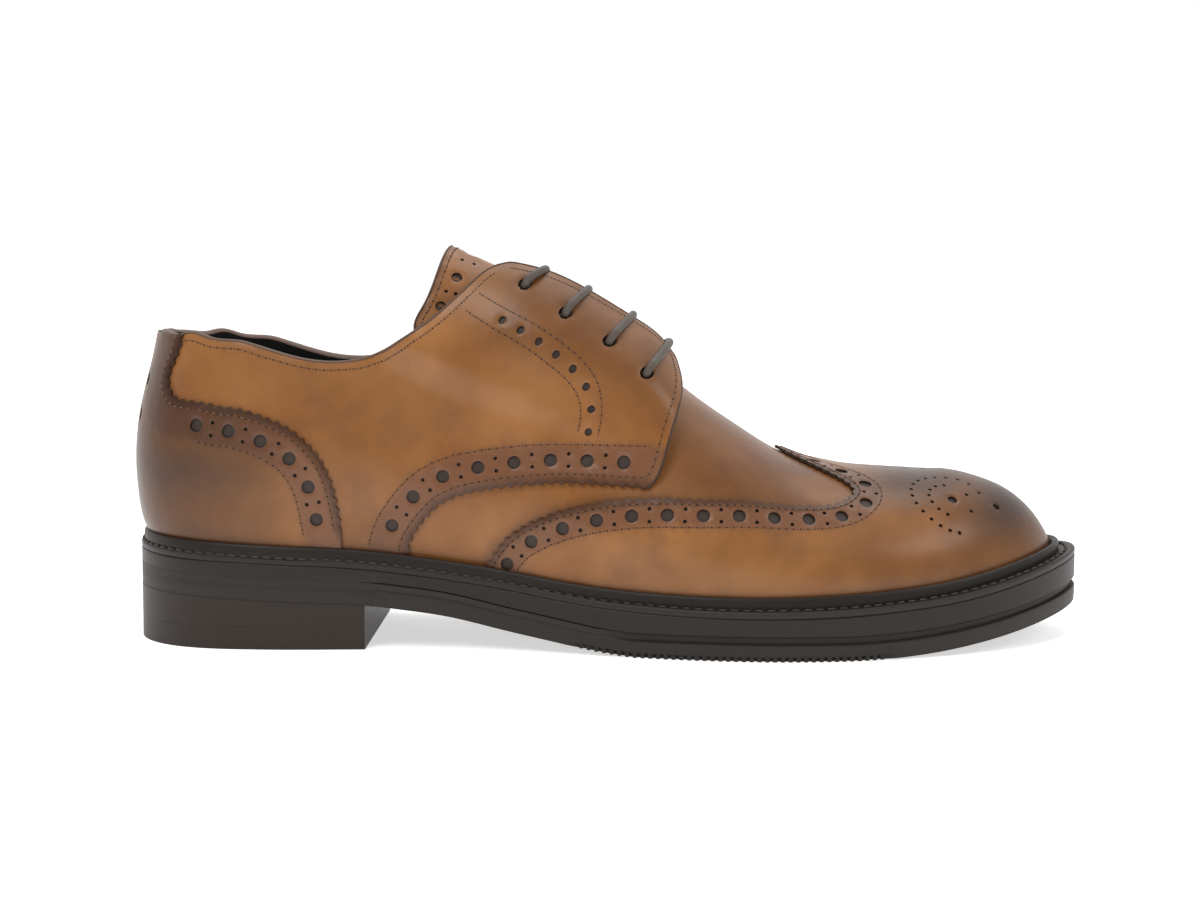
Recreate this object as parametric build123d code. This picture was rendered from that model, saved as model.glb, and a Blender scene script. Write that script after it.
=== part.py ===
from build123d import *
import math
import os

import numpy as np

# Full-brogue derby shoe for the right foot, UK 8.5 / EU 42.5. Millimetres.
# +X is the toe, -Y the outer (lateral) side, +Z up, and the sole stands on z = 0.
# Every leather piece is cut in a flat pattern wrapped on the last: pattern X runs along the
# shoe, pattern Y is the distance from the centre line over the instep, and past the two ends
# of the spine the pattern fans out about the points HEEL and TOE. Y is below 0 laterally.

# ---- driving dimensions -------------------------------------------------------------------
BACK, TIP = -142.7, 140.7          # ends of the last
HEEL, TOE = -112.0, 92.0           # ends of the spine that the sections stand on
CORE_DROP = 6.0                    # the sections' rays start this far below the feather edge
HEM_DROP = 3.0                     # the uppers reach this far below the feather edge
CENTRING = (0.2, 2.8, 0.0)         # puts the origin under the middle of the shoe

# Half widths of the last at the feather edge, and its heights, as (x, value)
LATERAL_WIDTH = [(-140, 12.2), (-132, 22), (-118, 28), (-100, 30), (-78, 29.8), (-52, 30), (-26, 33.5),
                 (0, 39), (25, 44.5), (45, 47), (62, 46.8), (80, 44), (98, 38.5), (115, 30.5),
                 (128, 21.5), (136, 13), (139.5, 6.5)]
MEDIAL_WIDTH = [(-140, 12), (-132, 21.5), (-118, 27.5), (-100, 29), (-78, 27.5), (-52, 24.5), (-26, 25),
                (0, 30), (25, 36), (45, 40), (62, 41.5), (80, 40.8), (98, 37.5), (115, 31.5),
                (128, 23.5), (136, 14.5), (139.5, 7)]
FEATHER_HEIGHT = [(-151, 31.9), (-146, 31.5), (-125, 30.3), (-94, 28.9), (-78, 28), (-63, 26.4),
                  (-48, 24.4), (-32, 22.1), (-17, 19.6), (-2, 17.6), (12, 16.6), (27, 16), (42, 15.8),
                  (57, 16), (72, 16.5), (88, 17.5), (104, 19.1), (121, 22), (132, 24.4), (151, 29)]
INSTEP_HEIGHT = [(-151, 156.5), (-115, 151.5), (-90, 142), (-70, 132.5), (-48.7, 121.5), (-34.5, 115),
                 (-21.6, 109), (-8.7, 102), (4, 93.5), (17, 83.5), (30, 73.3), (43, 64.5), (54, 57.7),
                 (62, 54.5), (72, 52), (81, 50.9), (94, 50.1), (104, 49.3), (113, 47.5), (122, 44.2)]
# Height over the feather edge near the toe, divided by the root of the distance to the tip
TOE_ROUND = [(60, 4.29), (94, 4.78), (104, 5.13), (113, 5.42), (122, 5.58), (128, 5.6),
             (133.5, 5.3), (137, 4.75), (139.8, 3.9)]
BACK_CURVE = [(21.5, 0), (27.5, 0), (31.5, 0.4), (37.5, 2.7), (44.5, 4.1), (54.5, 4.8), (64.5, 4.3),
              (73.5, 2.8), (83.5, 0.3), (91.5, -1.6), (97.5, -2.6), (131.5, -5)]
SIDE_SWELL = [(-151, 0.06), (-110, 0.07), (-60, 0.09), (-10, 0.06), (40, 0.025), (90, 0.02), (120, 0),
              (141, 0)]

# Layers of leather, as distances out from the last
LINING = (-1.4, -0.6)
INNER = (0.0, 0.9)
OUTER = (1.4, 2.45)
COVER = (3.65, 4.25)
PUFF = (-0.1, 0.5)
STAY = (-0.25, 0.15)
TRIM = (1.3, 1.8)

# Sole
SOLE_BOTTOM = [(-152, 17.1), (-125, 15.9), (-94, 14.4), (-74, 13.5), (-63, 12.2), (-48, 10.03),
               (-33, 6.77), (-14, 3.15), (-2, 1.05), (8, 0)]
SOLE_FLAT_END = 75.0
TOE_SPRING = [(75, 0), (94, 1), (104, 2.1), (122, 4.9), (140, 8.6), (156, 12.4)]
LOWER_BAND, GROOVE, GROOVE_DEPTH = 5.1, 2.0, 1.2
WELT_PLATE, WELT_LIP, LIP_WIDTH = 2.0, 2.7, 1.8
HEEL_LIP_DROP = 1.5                # how much lower the welt's lip is round the heel
HEEL_WALL, FORE_WALL = 5.4, 3.2    # from the last to the welt's inner wall, over the counter and ahead
EDGE_MARGIN = [(-202, 6.9), (-130, 6.9), (-112, 6.4), (-75, 6.0), (-30, 6.0), (0, 7.5), (45, 8.3),
               (92, 8.8), (137, 9.6), (182, 10.3)]
HEEL_BREAST, TOP_LIFT = -74.3, 7.0
INSOLE, INSOLE_INSET, SOCK = 2.4, 2.5, 0.9
TRAY_DEPTH, CORK_INSET = 5.0, 10.0
SHANK, SHANK_WIDTH, SHANK_ENDS = 1.2, 13.0, (-92.0, -4.0)
NAIL, NAIL_POINT, NAIL_LENGTH = 2.2, 4.0, 18.0
NAILS = [(-132, 0), (-124, 15), (-124, -15), (-104, 17), (-104, -17)]
THREAD, WELT_STITCH = 0.8, 4.2
GAP = 0.05                         # between pieces that lie on each other
HEM_GAP = 0.3                      # between the uppers' turned-in edges and the midsole
RING_HEIGHT, RING_OFFSET = 0.4, 0.05   # eyelet rings, and their middle over the facing's inside
LACE_GAP = 0.65                    # between the lace and the facing's lining
SEAM_GAP = 0.2                     # from the centre of the back seam to each quarter

# Lacing
LACE = 2.6
EYELET_HOLE, EYELET_RING = 4.0, 6.0
TAIL, TAIL_DROP, TIP_LENGTH = 4.0, 0.7, 4.5
BAR_LEAN, LACE_STAND, FACING_GAP = 4.5, 0.9, 9.0
PUNCH = 6.5                        # length of the cutter for the eyelet holes
EYELETS = [(-28, 15.5), (-15.5, 20), (-2.5, 22.5), (9, 26.5)]


# ---- the last -----------------------------------------------------------------------------
def smooth_curve(knots):
    """Natural cubic through (x, value) pairs, as a function of x."""
    x, v = np.array(knots, float).T
    h = np.diff(x)
    rows = np.zeros((len(x), len(x)))
    right = np.zeros(len(x))
    rows[0, 0] = rows[-1, -1] = 1
    for i in range(1, len(x) - 1):
        rows[i, i - 1:i + 2] = h[i - 1], 2 * (h[i - 1] + h[i]), h[i]
        right[i] = 6 * ((v[i + 1] - v[i]) / h[i] - (v[i] - v[i - 1]) / h[i - 1])
    bend = np.linalg.solve(rows, right)

    def value(s):
        s = np.clip(s, x[0], x[-1])
        i = np.clip(np.searchsorted(x, s) - 1, 0, len(h) - 1)
        p, q = (x[i + 1] - s) / h[i], (s - x[i]) / h[i]
        curved = (p**3 - p) * bend[i] + (q**3 - q) * bend[i + 1]
        return p * v[i] + q * v[i + 1] + curved * h[i]**2 / 6
    return value


def width_curve(knots):
    """Squared half width, rounded at both ends of the last."""
    shape = smooth_curve([(x, w / math.sqrt((x - BACK) * (TIP - x))) for x, w in knots])
    return lambda x: shape(x)**2 * (x - BACK) * (TIP - x)


lateral_width = width_curve(LATERAL_WIDTH)
medial_width = width_curve(MEDIAL_WIDTH)
feather = smooth_curve(FEATHER_HEIGHT)
instep = smooth_curve(INSTEP_HEIGHT)
toe_round = smooth_curve(TOE_ROUND)
back_curve = smooth_curve(BACK_CURVE)
side_swell = smooth_curve(SIDE_SWELL)
edge_margin = smooth_curve(EDGE_MARGIN)


def step(start, end, s):
    """Smooth rise from 0 to 1 between start and end."""
    t = np.clip((s - start) / (end - start), 0, 1)
    return t * t * (3 - 2 * t)


def height(x):
    """Height of the last over its feather edge."""
    low = instep(x) - feather(x)
    toe = toe_round(x) * np.sqrt(np.maximum(TIP - x, 1e-9))
    return low + (toe - low) * step(98, 112, x)


def level(p):
    """Below 0 inside the last, above 0 outside."""
    x, y, z = p[..., 0], p[..., 1], p[..., 2]
    along = x + back_curve(z) * (1 - step(-135, -85, x))
    width = np.where(y < 0, lateral_width(along), medial_width(along))
    up = np.maximum(z - feather(x), 0) / np.maximum(height(x), 1e-6)
    swell = 1 + side_swell(x) * np.sin(np.pi * np.clip(up / 0.62, 0, 1))**2
    power = 2.0 + 0.35 * step(0, 50, x) * (1 - step(95, 125, x))
    inside = (along > BACK) & (x < TIP) & (width > 0)
    width = np.where(inside, width, 1e-6) * swell**2
    value = (y * y / width)**(power / 2) + up**2 - 1
    return np.where(inside, value, 1 + np.abs(value))


def plan_radius(centre, dx, dy):
    """Distance in plan from the spine to the feather edge."""
    low, high = np.zeros_like(centre), np.full_like(centre, 80.0)
    for _ in range(40):
        t = (low + high) / 2
        x, y = centre + t * dx, t * dy
        width = np.where(y < 0, lateral_width(x), medial_width(x))
        inside = (x > BACK) & (x < TIP) & (y * y < width)
        low, high = np.where(inside, t, low), np.where(inside, high, t)
    return low


def shoot(centre, dx, dy, angle):
    """Where rays from the core leave the last."""
    start = np.stack([centre, 0 * centre, feather(centre) - CORE_DROP], -1)
    ray = np.stack([dx * np.cos(angle), dy * np.cos(angle), np.sin(angle)], -1)
    low, high = np.zeros_like(centre), np.full_like(centre, 200.0)
    for _ in range(36):
        t = (low + high) / 2
        inside = level(start + t[..., None] * ray) < 0
        low, high = np.where(inside, t, low), np.where(inside, high, t)
    return start + low[..., None] * ray


def section_rays(u, side):
    """Spine point and plan direction of the section at u: x on the spine, degrees past its ends."""
    centre = np.clip(u, HEEL, TOE)
    turn = np.radians(u - centre)
    return centre, np.sin(turn), side * np.cos(turn)


RAYS = 49
END_TURN = 5.0                     # normals at the very ends are taken this many degrees beside them
STATIONS = np.concatenate([np.arange(HEEL - 90, HEEL, 5.0), np.arange(HEEL, TOE, 6.0),
                           np.arange(TOE, TOE + 91, 5.0)])


def section_tables(side):
    """For each station: the ray angles from hem to ridge, and the arc length at each."""
    centre, dx, dy = section_rays(STATIONS, side)
    radius = plan_radius(centre, dx, dy)
    hem = feather(centre + radius * dx) - HEM_DROP
    low = np.arctan2(hem - feather(centre) + CORE_DROP, radius)
    angles = low[:, None] + (np.pi / 2 - low[:, None]) * np.linspace(0, 1, RAYS)
    points = shoot(*(np.repeat(a[:, None], RAYS, 1) for a in (centre, dx, dy)), angles)
    steps = np.linalg.norm(np.diff(points, axis=1), axis=2)
    return angles, np.concatenate([np.zeros((len(centre), 1)), np.cumsum(steps, axis=1)], 1)


TABLES = {side: section_tables(side) for side in (-1, 1)}


def girth(u, side=-1):
    """Arc length from hem to ridge."""
    return np.interp(u, STATIONS, TABLES[side][1][:, -1])


def place(u, side, share):
    """Points of the last, a share of the way up from the hem (0) to the ridge (1)."""
    centre, dx, dy = section_rays(u, side)
    angle = np.zeros_like(u)
    i = np.clip(np.searchsorted(STATIONS, u) - 1, 0, len(STATIONS) - 2)
    q = ((u - STATIONS[i]) / (STATIONS[i + 1] - STATIONS[i]))[:, None]
    for one in (-1, 1):
        mask = side == one
        angles, arcs = TABLES[one]
        turn = (angles[i] * (1 - q) + angles[i + 1] * q)[mask]
        arc = (arcs[i] * (1 - q) + arcs[i + 1] * q)[mask]
        want = share[mask] * arc[:, -1]
        j = np.clip((arc < want[:, None]).sum(1) - 1, 0, RAYS - 2)
        k = np.arange(len(j))
        part = (want - arc[k, j]) / (arc[k, j + 1] - arc[k, j])
        angle[mask] = turn[k, j] + part * (turn[k, j + 1] - turn[k, j])
    return shoot(centre, dx, dy, angle)


def on_last(pattern, offset=0.0):
    """Pattern positions (n, 2) to points, an offset out from the last. Both sides use the
    lateral side's pattern: the medial side takes the same share of its own girth."""
    x, y = np.asarray(pattern, float).T
    end = np.clip(x, HEEL, TOE)
    turn = np.degrees(np.arctan2(np.abs(x - end), np.abs(y)))
    u = end + np.sign(x - end) * turn
    side = np.where(y < 0, -1, 1)
    share = 1 - np.hypot(x - end, y) / girth(u)
    p = place(u, side, share)
    beside = place(np.clip(u, HEEL - 90 + END_TURN, TOE + 90 - END_TURN), side, share)
    e = 0.05
    slope = np.stack([level(beside + axis * e) - level(beside - axis * e) for axis in np.eye(3)], -1)
    slope[:, 1] *= np.minimum(np.abs(p[:, 1]) / np.maximum(np.abs(beside[:, 1]), 1e-9), 1)
    normal = slope / np.linalg.norm(slope, axis=-1, keepdims=True)
    return p + normal * np.broadcast_to(offset, x.shape)[:, None]


tongue_room = smooth_curve([(-85, 0.2), (-66, 4.2), (-45, 4.5), (-33, 4.1), (-20, 3.6), (20, 3.4)])
lace_room = smooth_curve([(-60, 0), (-50, 0.8), (-40, 2.4), (-30, 4.6), (-22, 5.8), (-12, 5.8),
                          (0, 5.5), (10, 5.2), (17, 3.4), (22, 1.6)])


def facing_lift(pattern):
    """How far the quarters stand off the last, over the tongue and over the crossing laces."""
    x, y = np.asarray(pattern, float).T
    y = np.abs(y)
    over_tongue = np.where(x < -66, tongue_room(x) * step(-92, -66, x), tongue_room(x))
    return over_tongue * (1 - step(43, 58, y)) + lace_room(x) * (1 - step(26, 46, y))


# ---- pattern outlines ---------------------------------------------------------------------
def hem(u_start, u_end, side=1, up=0.0, count=40):
    """Pattern positions along the hem, or a little above it."""
    u = np.linspace(u_start, u_end, count)
    centre, dx, dy = section_rays(u, side)
    reach = girth(u) - up
    return np.stack([centre + reach * dx, reach * dy], 1)


def fan(degrees, reach):
    """Pattern position in the heel fan, degrees from the back seam, reach from HEEL."""
    turn = math.radians(degrees)
    return HEEL - reach * math.cos(turn), reach * math.sin(turn)


def mirrored(points):
    """Lateral outline, carried on over the centre line to the medial side."""
    points = np.asarray(points, float)
    other = points[::-1] * (1, -1)
    return np.concatenate([points, other[1:] if abs(points[-1][1]) < 0.01 else other])


def curve(points, count):
    """Evenly spaced points along a smooth curve through the given ones."""
    points = np.asarray(points, float)
    run = np.concatenate([[0], np.cumsum(np.linalg.norm(np.diff(points, axis=0), axis=1))])
    s = np.linspace(0, run[-1], count)
    if len(points) == 2:
        return np.stack([np.interp(s, run, points[:, k]) for k in (0, 1)], 1)
    return np.stack([smooth_curve(np.stack([run, points[:, k]], 1))(s) for k in (0, 1)], 1)


def shifted(points, distance):
    """Outline moved to its left, which for one that runs forwards is down from the centre line."""
    run = np.gradient(points, axis=0)
    left = run[:, ::-1] * (-1, 1)
    return points + distance * left / np.linalg.norm(left, axis=1, keepdims=True)


TOPLINE = [fan(0, 84.2), fan(10, 77.8), fan(20, 73), fan(30, 69.8), fan(41, 67.4), fan(50, 65),
           (-138, 59.5), (-112, 65), (-95, 64.5), (-83, 60.5), (-73, 54), (-62, 43), (-52, 31),
           (-43, 18.5), (-38, 12.5), (-33, 9.5)]
FACING_EDGE = [(-33, 9.5), (-22, 9), (-8, 9), (4, 9), (12, 9.5), (16.5, 12)]
FACING_FRONT = [(12.2, 57), (14.6, 53), (17.6, 42), (19.4, 30), (19.5, 21), (16.5, 12)]
QUARTER_EDGE = [(-61.5, 109), (-60.5, 104.5), (-57.5, 98), (-52, 89.5), (-44.5, 82.8), (-35, 77.6),
                (-26, 73.4), (-14, 68.3), (-2, 63.3), (12.2, 57)]
VAMP_BACK = [(-70, 108), (-66.5, 98), (-58, 85), (-49, 76), (-29, 66), (-5, 56), (5, 49), (10, 38),
             (13.6, 20), (15, 0)]
WING_EDGE = [(-37.7, 104), (-35.2, 99), (-31.5, 92.5), (-23, 83.5), (-9, 73.3), (10, 61.6), (28, 52.3),
             (45, 44.6), (60, 38.8), (69, 35), (74.3, 30.5), (76, 26.4), (74, 22), (68, 15.8), (60.5, 9),
             (55.5, 4), (53.5, 0)]
WING_UNDERLAP = [(-28, 104), (-20, 94), (-2, 80), (20, 66.5), (45, 55), (66, 46), (80, 38), (87, 28),
                 (84, 18), (74, 8), (66, 0)]
COUNTER_EDGE = [(-81.5, 111), (-83, 102.5), (-86.6, 93.5), (-94, 88), (-104, 86.3), fan(80, 85.6),
                fan(64, 85.2), fan(52, 86), fan(45, 84.5), fan(41.5, 81), fan(43, 76), fan(46, 70.5),
                fan(47, 68), fan(45, 67.6), fan(36, 69.2), fan(20, 73.8), fan(10, 78.5), fan(0, 84.8)]
STIFFENER_TOP = [(-76, 109), (-80, 102), (-92, 95), (-112, 92), fan(60, 91), fan(30, 91), fan(0, 92)]
PUFF_BACK = [(64, 62), (80, 48), (94, 34), (99, 17), (98, 0)]
TONGUE_ROOT = [(5.5, 34), (11, 18), (14, 0)]
TONGUE_TOP = [(-58.5, 42.5), (-60, 38), (-58, 31), (-53.6, 16), (-50.5, 0)]
TRIM_ROOT = [(-43.5, 40.6), (-40.5, 32), (-36, 16), (-33, 0)]
LINING_SPLIT = [(-46, 100), (-38, 84), (-24, 71), (-6, 60), (3, 53.5)]
LINING_FRONT = [(3, 53.5), (6.5, 46), (9.5, 40), (15, 36.5), (17, 26), (16, 12)]
LINING_EDGE = [(-32.5, 10.5), (-22, 10), (-8, 10), (4, 10), (16, 12)]
VAMP_LINING_BACK = [(-45.5, 101), (-37.5, 84.5), (-23.5, 71.5), (-5.5, 60.5), (5, 53), (11, 38),
                    (14, 20), (15, 0)]
STAY_LOW = [(-33, 27), (-20, 31), (-3, 34), (10, 36.5)]
STAY_TOP = [(-30, 11), (-20, 10.5), (-3, 10.5), (13, 12)]


# ---- solids -------------------------------------------------------------------------------
def shell_between(inner, outer):
    """Closed solid between two grids of points, faceted in flat triangles."""
    columns, rows = inner.shape[:2]
    points = [Vector(*map(float, p)) for grid in (inner, outer) for p in grid.reshape(-1, 3)]
    number = np.arange(2 * columns * rows).reshape(2, columns, rows)
    quads = []
    for layer, turn in ((0, 1), (1, -1)):
        n = number[layer]
        corners = np.stack([n[:-1, :-1], n[1:, :-1], n[1:, 1:], n[:-1, 1:]], -1).reshape(-1, 4)
        quads += [tuple(q[::turn]) for q in corners]
    for line, turn in ((number[:, :, 0], -1), (number[:, :, -1], 1), (number[:, 0], 1), (number[:, -1], -1)):
        corners = np.stack([line[0, :-1], line[0, 1:], line[1, 1:], line[1, :-1]], -1)
        quads += [tuple(q[::turn]) for q in corners]
    faces = []
    for a, b, c, d in quads:
        for corner in ((a, b, c), (a, c, d)):
            faces.append(Face(Wire.make_polygon([points[k] for k in corner])))
    solid = Solid(Shell(faces))
    return solid if solid.volume > 0 else Solid(solid.wrapped.Reversed())


def between(bottom, top, columns, rows):
    """Grid in the pattern between two outlines that run the same way."""
    low, high = curve(bottom, columns), curve(top, columns)
    t = np.linspace(0, 1, rows)[None, :, None]
    return low[:, None] * (1 - t) + high[:, None] * t


def with_end(grid, end, power=6):
    """Bends the last column of a pattern grid onto a curve, fading towards the first column."""
    rows = grid.shape[1]
    shift = curve(end, rows) - grid[-1]
    fade = np.linspace(0, 1, grid.shape[0])**power
    return grid + fade[:, None, None] * shift[None]


def leather(grid, layer, lifted=False):
    """Sheet of leather over a pattern grid."""
    flat = grid.reshape(-1, 2)
    lift = facing_lift(flat) if lifted else 0.0
    faces = [on_last(flat, offset + lift).reshape(*grid.shape[:2], 3) for offset in layer]
    return shell_between(*faces)


def over_last(x, y, offset):
    """One point over the last, by its pattern position and its distance from the facing's inside."""
    lift = float(facing_lift([(x, y)])[0])
    return Vector(*map(float, on_last([(x, y)], lift + offset)[0]))


def eyelet_plane(index, side, offset):
    """Plane across one eyelet's axis, Z outwards."""
    x, y = EYELETS[index]
    here = over_last(x, side * y, offset)
    return Plane(origin=here, z_dir=over_last(x, side * y, offset + 1) - here)


def punched(solid, side, radius):
    """Cuts the four eyelet holes of one side."""
    for index in range(len(EYELETS)):
        solid = solid - eyelet_plane(index, side, 0.8) * Cylinder(radius, PUNCH)
    return solid


def upper_wall(u):
    """How far out from the last the welt's inner wall stands: further where the counter is."""
    return HEEL_WALL - (HEEL_WALL - FORE_WALL) * step(-80, -66, u)


def plan_outline(outset, more=0.0):
    """Plan outline of the last at its feather edge, set out by a distance or a function of u."""
    loops = []
    for side in (-1, 1):
        centre, dx, dy = section_rays(STATIONS, side)
        out = outset(STATIONS) if callable(outset) else outset
        reach = plan_radius(centre, dx, dy) + out + more
        loops.append(np.stack([centre + reach * dx, reach * dy], 1))
    loop = np.concatenate([loops[0][1:-1], loops[1][::-1]])
    return [(float(x), float(y)) for x, y in loop]


def prism(outline, low=-5.0, high=60.0):
    """Upright prism over a closed smooth outline."""
    face = Face(Wire([Edge.make_spline([Vector(x, y, low) for x, y in outline], periodic=True)]))
    return extrude(face, high - low, dir=(0, 0, 1))


def profile_points(value, x_start, x_end, count=26):
    return [(float(x), float(value(x))) for x in np.linspace(x_start, x_end, count)]


def side_slab(bottom, top, x_start=-160.0, x_end=160.0):
    """Slab across the shoe between two heights, each a function of x."""
    low, high = profile_points(bottom, x_start, x_end), profile_points(top, x_start, x_end)
    edges = [Edge.make_spline([Vector(x, -80, z) for x, z in low]),
             Edge.make_line((low[-1][0], -80, low[-1][1]), (high[-1][0], -80, high[-1][1])),
             Edge.make_spline([Vector(x, -80, z) for x, z in high[::-1]]),
             Edge.make_line((high[0][0], -80, high[0][1]), (low[0][0], -80, low[0][1]))]
    return extrude(Face(Wire(edges)), 160, dir=(0, 1, 0))


sole_back = smooth_curve(SOLE_BOTTOM)
sole_front = smooth_curve(TOE_SPRING)


def under_hem(x):
    """Height just under the uppers' turned-in edges."""
    return feather(x) - HEM_DROP - HEM_GAP


def sole_bottom(x):
    """Height of the sole's underside."""
    return np.where(x < 8, sole_back(x), np.where(x > SOLE_FLAT_END, sole_front(x), 0.0))


def under_sole(x):
    return sole_bottom(x) - GAP


def tread_slab(rise):
    """Slab from the sole's underside, flat under the ball, up to the same line raised."""
    ends = [(-160.0, 8.0), (8.0, SOLE_FLAT_END), (SOLE_FLAT_END, 160.0)]
    edges = []
    for lift in (0.0, rise):
        for start, end in ends:
            points = profile_points(lambda x: sole_bottom(x) + lift, start, end, 14)
            if start == 8.0:
                points = [points[0], points[-1]]
            corners = [Vector(x, -80, z) for x, z in points]
            edges.append(Edge.make_line(*corners) if len(corners) == 2 else Edge.make_spline(corners))
    for x in (-160.0, 160.0):
        z = float(sole_bottom(x))
        edges.append(Edge.make_line((x, -80, z), (x, -80, z + rise)))
    return extrude(Face(Wire(edges)), 160, dir=(0, 1, 0))


NODES = {}


def keep(name, solid):
    """Writes one node, moved to the part's own origin."""
    moved = Pos(*CENTRING) * solid
    NODES[name] = moved
    export_step(moved, f"parts/{name}.step")
    print(name, round(moved.volume / 1000, 2), "cm3")


# ---- uppers -------------------------------------------------------------------------------
def make_forepart():
    """Wing cap, vamp, toe puff and forepart lining, each one piece over both sides."""
    low = mirrored(hem(-38, TOE + 90, count=50))
    keep("wing_cap", leather(between(low, mirrored(WING_EDGE), 65, 8), OUTER))
    low = mirrored(np.concatenate([hem(-70, -30, up=0.5, count=6), WING_UNDERLAP]))
    keep("vamp", leather(between(low, mirrored(VAMP_BACK), 47, 8), INNER))
    low = mirrored(hem(64, TOE + 90, up=0.3))
    keep("toe_puff", leather(between(low, mirrored(PUFF_BACK), 37, 6), PUFF))
    low = mirrored(hem(-46, TOE + 90, up=0.5, count=60))
    keep("vamp_lining", leather(between(low, mirrored(VAMP_LINING_BACK), 47, 8), LINING))


def make_heel_cover():
    """Outer counter with its neck up the back seam, and the stiffener inside it."""
    low = mirrored(hem(-75, HEEL - 90, up=0.3))
    keep("heel_stiffener", leather(between(low, mirrored(STIFFENER_TOP), 51, 6), INNER))
    low = mirrored(hem(-81.5, HEEL - 90))
    keep("heel_counter_cover", leather(between(low, mirrored(COUNTER_EDGE), 61, 8), COVER))


def make_side(name, side):
    """Quarter, its lining, facing stay, eyelet rings and topline tape of one side."""
    def sheet(low, top, layer, columns, rows, front=None):
        grid = between(low, top, columns, rows)
        if front:
            grid = with_end(grid, front)
        grid[..., 1] = np.maximum(grid[..., 1], SEAM_GAP)
        return leather(grid * (1, side), layer, lifted=True)

    low = np.concatenate([hem(HEEL - 90, -63, count=30), QUARTER_EDGE])
    quarter = sheet(low, TOPLINE + FACING_EDGE[1:], OUTER, 49, 9, FACING_FRONT)
    keep(f"quarter_{name}", punched(quarter, side, EYELET_HOLE / 2))

    low = np.concatenate([hem(HEEL - 90, -47, up=0.5, count=30), LINING_SPLIT])
    top = np.concatenate([shifted(np.array(TOPLINE[:-1]), 0.5), LINING_EDGE])
    lining = sheet(low, top, LINING, 43, 7, LINING_FRONT)
    keep(f"quarter_lining_{name}", punched(lining, side, EYELET_HOLE / 2))

    stay = sheet(STAY_LOW, STAY_TOP, STAY, 13, 6)
    keep(f"facing_stay_{name}", punched(stay, side, EYELET_RING / 2 + 0.1))

    ring = Cylinder(EYELET_RING / 2, RING_HEIGHT) - Cylinder(EYELET_HOLE / 2, 2)
    rings = [eyelet_plane(index, side, RING_OFFSET) * ring for index in range(len(EYELETS))]
    keep(f"eyelets_{name}", Compound([r.solid() for r in rings]))

    line = curve(TOPLINE, 61)[2:-4]
    keep(f"topline_tape_{name}", sheet(shifted(line, 6.0), shifted(line, 1.0), STAY, 43, 3))


def make_tongue():
    """Tongue in three pieces: leather, lining, and the trim band along its top edge."""
    grid = between(mirrored(TONGUE_ROOT), mirrored(TONGUE_TOP), 17, 9)
    keep("tongue", leather(grid, INNER))
    keep("tongue_lining", leather(grid, LINING))
    top = np.array(TONGUE_TOP) + (0.9, 0)
    keep("tongue_trim", leather(between(mirrored(TRIM_ROOT), mirrored(top), 17, 3), TRIM))


# ---- sole ---------------------------------------------------------------------------------
def outsole_solid(edge):
    """Rubber outsole, with the groove that runs round the forepart under its upper band."""
    tread_top = LOWER_BAND + GROOVE
    solid = edge & tread_slab(tread_top)
    ring = side_slab(lambda x: sole_bottom(x) + LOWER_BAND, lambda x: sole_bottom(x) + tread_top + 3, 10.0)
    return solid - (ring - prism(plan_outline(edge_margin, -GROOVE_DEPTH)))


def midsole_solid(edge):
    """Midsole, with a tray on top for the cork and a slot for the shank."""
    solid = edge & side_slab(lambda x: sole_bottom(x) + LOWER_BAND + GROOVE + GAP, under_hem)
    tray_floor = lambda x: feather(x) - TRAY_DEPTH - GAP
    above = lambda x: feather(x) + 5
    tray = prism(plan_outline(-CORK_INSET + GAP)) & side_slab(tray_floor, above, -2.0)
    slot = side_slab(tray_floor, above, SHANK_ENDS[0] - 1, SHANK_ENDS[1] + 1)
    return solid - tray - (slot & Pos(0, 0, 20) * Box(300, SHANK_WIDTH + 1, 60))


def welt_solid(edge):
    """Storm welt: a flat plate with a raised lip that hugs the upper."""
    plate = side_slab(lambda x: feather(x) - HEM_DROP, lambda x: feather(x) - HEM_DROP + WELT_PLATE)
    lip_top = lambda x: feather(x) + WELT_LIP - HEEL_LIP_DROP * (1 - step(-110, -80, x))
    lip = side_slab(lambda x: feather(x) - HEM_DROP, lip_top)
    lip = prism(plan_outline(upper_wall, LIP_WIDTH)) & lip
    return ((edge & plate) + lip) - prism(plan_outline(upper_wall))


def welt_stitches():
    """The welt's stitches, lying in the channel beside its lip."""
    line = [Vector(x, y, 0) for x, y in plan_outline(upper_wall, LIP_WIDTH + 0.8)]
    path = Edge.make_spline(line, periodic=True)
    count = int(path.length / WELT_STITCH)
    stitches = []
    for k in range(count):
        p, run = path @ (k / count), path % (k / count)
        z = float(feather(p.X)) - HEM_DROP + WELT_PLATE + THREAD
        rise = float(feather(p.X + 1) - feather(p.X - 1)) / 2 * run.X
        line = Plane(origin=(p.X, p.Y, z), z_dir=(run.X, run.Y, rise))
        stitches.append((line * Cylinder(THREAD / 2, WELT_STITCH * 0.75)).solid())
    return Compound(stitches)


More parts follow.
